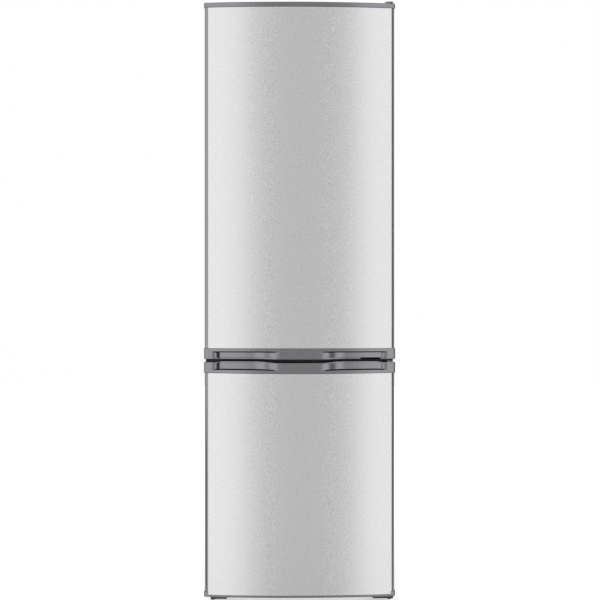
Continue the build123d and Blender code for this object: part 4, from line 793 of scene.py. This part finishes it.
# %% Washers on the middle pin
pin_x, pin_y = 259 * MM, -248.5 * MM
arm_low, arm_high = 699.5 * MM, 702.5 * MM
washer_radius, washer_sides, washer_wall = 13.4 * MM, 40, 0.7 * MM
collar_inset, collar_rise = 3 * MM, 0.5 * MM
for name, face_z, way in (("washer_over_arm", arm_high, 1), ("washer_under_arm", arm_low, -1)):
    bpy.ops.object.select_all(action="DESELECT")
    bpy.ops.mesh.primitive_cylinder_add(vertices=washer_sides, radius=washer_radius, depth=washer_wall,
                                        location=(pin_x, pin_y, face_z + way * washer_wall / 2))
    washer = bpy.context.object
    washer.name = name
    bpy.ops.object.transform_apply(location=True, rotation=True, scale=True)
    edit(washer)
    bpy.ops.mesh.select_mode(type="FACE")
    pick(washer, "polygons", lambda m: abs(m.z - face_z - way * washer_wall) < weld)
    bpy.ops.mesh.inset(thickness=collar_inset)
    bpy.ops.mesh.extrude_region_move(TRANSFORM_OT_translate={"value": (0, 0, way * collar_rise)})
    bpy.ops.object.mode_set(mode="OBJECT")
    bpy.ops.object.shade_smooth_by_angle(angle=radians(40))
    washer.data.materials.append(finishes["black_plastic"])
    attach(washer, "cabinet")
    print(name, "faces", len(washer.data.polygons))

# %% [markdown]
# ## Condenser
# The coil at the back is one steel tube that runs to and fro twelve times, with thin wires welded
# across it on both sides. One ring of vertices is drawn out along the first run, spun through the
# bend and drawn back, again and again. One wire is drawn the same way and an Array repeats it,
# clear of the clips that hold the coil.

# %% Tube of the condenser
coil_y, coil_low, coil_pitch, coil_rows = 274 * MM, 400 * MM, 92 * MM, 12
run_half, tube_radius, tube_sides, bend_steps = 179 * MM, 2.5 * MM, 12, 12
bpy.ops.object.select_all(action="DESELECT")
bpy.ops.mesh.primitive_circle_add(vertices=tube_sides, radius=tube_radius, rotation=(0, pi / 2, 0),
                                  location=(-run_half, coil_y, coil_low))
coil = bpy.context.object
coil.name = "condenser_coil"
bpy.ops.object.transform_apply(location=True, rotation=True, scale=True)
edit(coil)
bpy.ops.mesh.select_mode(type="VERT")
bpy.ops.mesh.select_all(action="SELECT")
for row in range(coil_rows):
    way = 1 if row % 2 == 0 else -1
    bpy.ops.mesh.extrude_region_move(TRANSFORM_OT_translate={"value": (2 * way * run_half, 0, 0)})
    if row < coil_rows - 1:
        bend_z = coil_low + (row + 0.5) * coil_pitch
        bpy.ops.mesh.spin(steps=bend_steps, angle=way * pi, center=(way * run_half, coil_y, bend_z),
                          axis=(0, 1, 0))
bpy.ops.mesh.select_all(action="SELECT")
bpy.ops.mesh.remove_doubles(threshold=weld)
bpy.ops.mesh.fill_holes(sides=0)
bpy.ops.mesh.normals_make_consistent(inside=False)
bpy.ops.object.mode_set(mode="OBJECT")
bpy.ops.object.shade_smooth_by_angle(angle=radians(40))
print(coil.name, "faces", len(coil.data.polygons), "size", in_mm(coil.dimensions))

# %% Wires across the tube
wire_radius, wire_sides, wire_pitch, wire_over = 0.9 * MM, 8, 22.15 * MM, 18 * MM
wire_length = (coil_rows - 1) * coil_pitch + 2 * wire_over
weld_sink = 0.2 * MM
wire_off = tube_radius + wire_radius - weld_sink
# First wire, number of wires and depth: outside, then on the wall side
wire_rows = ((-177.2 * MM, 17, coil_y + wire_off), (-143.97 * MM, 14, coil_y - wire_off))
wires = []
for first_x, count, wire_y in wire_rows:
    bpy.ops.object.select_all(action="DESELECT")
    bpy.ops.mesh.primitive_circle_add(vertices=wire_sides, radius=wire_radius, fill_type="NGON",
                                      location=(first_x, wire_y, coil_low - wire_over))
    wire = bpy.context.object
    bpy.ops.object.transform_apply(location=True, rotation=True, scale=True)
    edit(wire)
    bpy.ops.mesh.select_all(action="SELECT")
    bpy.ops.mesh.extrude_region_move(TRANSFORM_OT_translate={"value": (0, 0, wire_length)})
    bpy.ops.mesh.select_all(action="SELECT")
    bpy.ops.mesh.normals_make_consistent(inside=False)
    bpy.ops.object.mode_set(mode="OBJECT")
    repeat = wire.modifiers.new("repeat", "ARRAY")
    repeat.count = count
    repeat.use_relative_offset = False
    repeat.use_constant_offset = True
    repeat.constant_offset_displace = (wire_pitch, 0, 0)
    bpy.ops.object.modifier_apply(modifier="repeat")
    bpy.ops.object.shade_smooth_by_angle(angle=radians(50))
    wires.append(wire)
for wire in wires:
    wire.select_set(True)
coil.select_set(True)
bpy.context.view_layer.objects.active = coil
bpy.ops.object.join()
coil.data.materials.clear()
coil.data.materials.append(finishes["black_steel"])
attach(coil, "cabinet")
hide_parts("condenser")
print(coil.name, "with wires, faces", len(coil.data.polygons))

# %% [markdown]
# ## Cross-head screws
# A grid of five by five faces is the top of a screw: the cross in its middle is pushed down, the
# outline is made round, and the rim is drawn down in two steps, sloping and then straight. Copies
# hold the back panel along its edges, and the hinges and foot plates on the cabinet.

# %% One screw head
head_radius, head_rise, cross_deep = 4.57 * MM, 2.2 * MM, 1.1 * MM
cells, top_share, slope_share, rim_spread = 5, 0.8, 0.4, 1.2
cell = 2 * head_radius * top_share / cells
outline = (cells / 2 - 0.1) * cell
bpy.ops.object.select_all(action="DESELECT")
bpy.ops.mesh.primitive_grid_add(x_subdivisions=cells, y_subdivisions=cells, size=cells * cell,
                                location=(0, 0, head_rise))
head = bpy.context.object
head.name = "screw_head"
bpy.ops.object.transform_apply(location=True, rotation=True, scale=True)
edit(head)
bpy.ops.mesh.select_mode(type="VERT")
pick(head, "vertices", lambda v: max(abs(v.x), abs(v.y)) > outline)
bpy.ops.transform.tosphere(value=1.0)
bpy.ops.mesh.select_mode(type="FACE")
# The cross is the middle face and its four neighbours
pick(head, "polygons", lambda m: min(abs(m.x), abs(m.y)) < 0.4 * cell and m.xy.length < 1.5 * cell)
bpy.ops.mesh.extrude_region_move(TRANSFORM_OT_translate={"value": (0, 0, -cross_deep)})
bpy.ops.mesh.select_mode(type="EDGE")
bpy.ops.mesh.select_all(action="DESELECT")
bpy.ops.mesh.select_non_manifold()
bpy.ops.mesh.extrude_region_move(TRANSFORM_OT_translate={"value": (0, 0, -slope_share * head_rise)})
bpy.ops.transform.resize(value=(rim_spread, rim_spread, 1))
bpy.ops.mesh.extrude_region_move(TRANSFORM_OT_translate={"value": (0, 0, -(1 - slope_share) * head_rise)})
bpy.ops.mesh.edge_face_add()
bpy.ops.mesh.select_all(action="SELECT")
bpy.ops.mesh.normals_make_consistent(inside=False)
bpy.ops.object.mode_set(mode="OBJECT")
bpy.ops.object.shade_smooth_by_angle(angle=radians(35))
head.data.materials.append(finishes["hinge_steel"])
print(head.name, "faces", len(head.data.polygons), "size", in_mm(head.dimensions, 2))

# %% Screws in their places
facing_back, facing_front, facing_up, facing_down = -pi / 2, pi / 2, 0, pi
# Places in millimetres, each with the way that its head faces
panel_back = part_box("back_panel")[1].y / MM
panel_x, panel_levels = 258, range(290, 1700, 280)
back_screws = [((x, panel_back, z), facing_back) for x in (-panel_x, panel_x) for z in panel_levels]
middle_hinge = [((194.5, -217, 709), facing_front), ((222.5, -217, 709), facing_front)]
top_hinge = [((252, -148, 1729.5), facing_up), ((216, -190, 1729.5), facing_up)]
foot_plates = [((x, -197, 16), facing_down) for x in (-246, -209, 209, 246)]
hinge_screws = middle_hinge + top_hinge + foot_plates
for name, places in (("back_panel_screws", back_screws), ("hinge_screw_heads", hinge_screws)):
    copies = []
    for place, tilt in places:
        copy = bpy.data.objects.new(name, head.data.copy())
        bpy.context.collection.objects.link(copy)
        copy.location = Vector(place) * MM
        copy.rotation_euler = (tilt, 0, 0)
        copies.append(copy)
    bpy.ops.object.select_all(action="DESELECT")
    for copy in copies:
        copy.select_set(True)
    bpy.context.view_layer.objects.active = copies[0]
    bpy.ops.object.transform_apply(location=True, rotation=True, scale=True)
    bpy.ops.object.join()
    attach(copies[0], "cabinet")
    if name == "hinge_screw_heads":
        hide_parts("hinge_screws")
    print(name, len(places))
bpy.data.objects.remove(head)

# %% [markdown]
# ## Dial marks
# The thermostat has a printed scale: six plain numbers with a short tick each, over the three
# quarters of a turn that the knob makes, and a dark line on the knob to read them by. Text is a
# curve, so it is turned into a mesh first and then set flat on the face of the housing. The ink
# is a matt dark grey with a fine unevenness.

# %% Ink and marks
knob_y, knob_z, dial_x = -116 * MM, 1575 * MM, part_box("control_housing")[0].x
digit_ring, tick_ring, print_wall = 22.8 * MM, 18.9 * MM, 0.15 * MM
grained("grey_pad_print", "dial_print", ("#4A4C50", "#55575B"), 1.0, (0.45, 0.55))


def dial_place(turn, ring, x):
    """Point on the dial at a turn clockwise from the top, as seen from inside the fridge."""
    return (x, knob_y - ring * sin(turn), knob_z + ring * cos(turn))


def printed_bar(place, turn, length, width):
    """Flat bar of ink that points away from the middle of the dial."""
    bpy.ops.object.select_all(action="DESELECT")
    bpy.ops.mesh.primitive_plane_add(size=1.0, location=place, rotation=(turn, -pi / 2, 0))
    bar = bpy.context.object
    bar.scale = (length, width, 1)
    bpy.ops.object.transform_apply(location=True, rotation=True, scale=True)
    edit(bar)
    bpy.ops.mesh.select_all(action="SELECT")
    bpy.ops.mesh.extrude_region_move(TRANSFORM_OT_translate={"value": (-print_wall, 0, 0)})
    bpy.ops.object.mode_set(mode="OBJECT")
    return bar


print("dial middle in mm", in_mm((dial_x, knob_y, knob_z)))

# %% Numbers and ticks
digit_count, digit_size, dial_turn = 6, 5.5 * MM, radians(270)
dial_step = dial_turn / (digit_count - 1)
for number in range(digit_count):
    turn = dial_step * number
    digit_place = dial_place(turn, digit_ring, dial_x - print_wall)
    bpy.ops.object.select_all(action="DESELECT")
    bpy.ops.object.text_add(location=digit_place, rotation=(pi / 2, 0, -pi / 2))
    digit = bpy.context.object
    digit.name = "dial_number_" + str(number)
    digit.data.body = str(number)
    digit.data.size = digit_size
    digit.data.align_x = "CENTER"
    digit.data.align_y = "CENTER"
    digit.data.extrude = print_wall
    bpy.ops.object.convert(target="MESH")
    printed_bar(dial_place(turn, tick_ring, dial_x), turn, length=1.8 * MM, width=0.6 * MM)
    digit.select_set(True)
    bpy.context.view_layer.objects.active = digit
    bpy.ops.object.join()
    bpy.ops.object.transform_apply(location=True, rotation=True, scale=True)
    digit.data.materials.clear()
    digit.data.materials.append(finishes["dial_print"])
    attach(digit, "cabinet")
    print(digit.name, "at", in_mm(digit_place))

# %% Pointer on the knob
pointer_ring = 11 * MM
knob_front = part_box("thermostat_knob")[0].x
pointer = printed_bar(dial_place(0, pointer_ring, knob_front), 0, length=7 * MM, width=1.2 * MM)
pointer.name = "knob_pointer"
pointer.data.materials.append(finishes["dial_print"])
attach(pointer, "thermostat_knob")
print(pointer.name, "size", in_mm(pointer.dimensions))

# %% [markdown]
# ## Closing the scene
# The box of the CAD model is printed once more at the end, in millimetres. The visual model
# has to stay inside the box of the CAD model.

# %% Sizes and finish
print("CAD in mm", [in_mm(corner) for corner in cad_box])
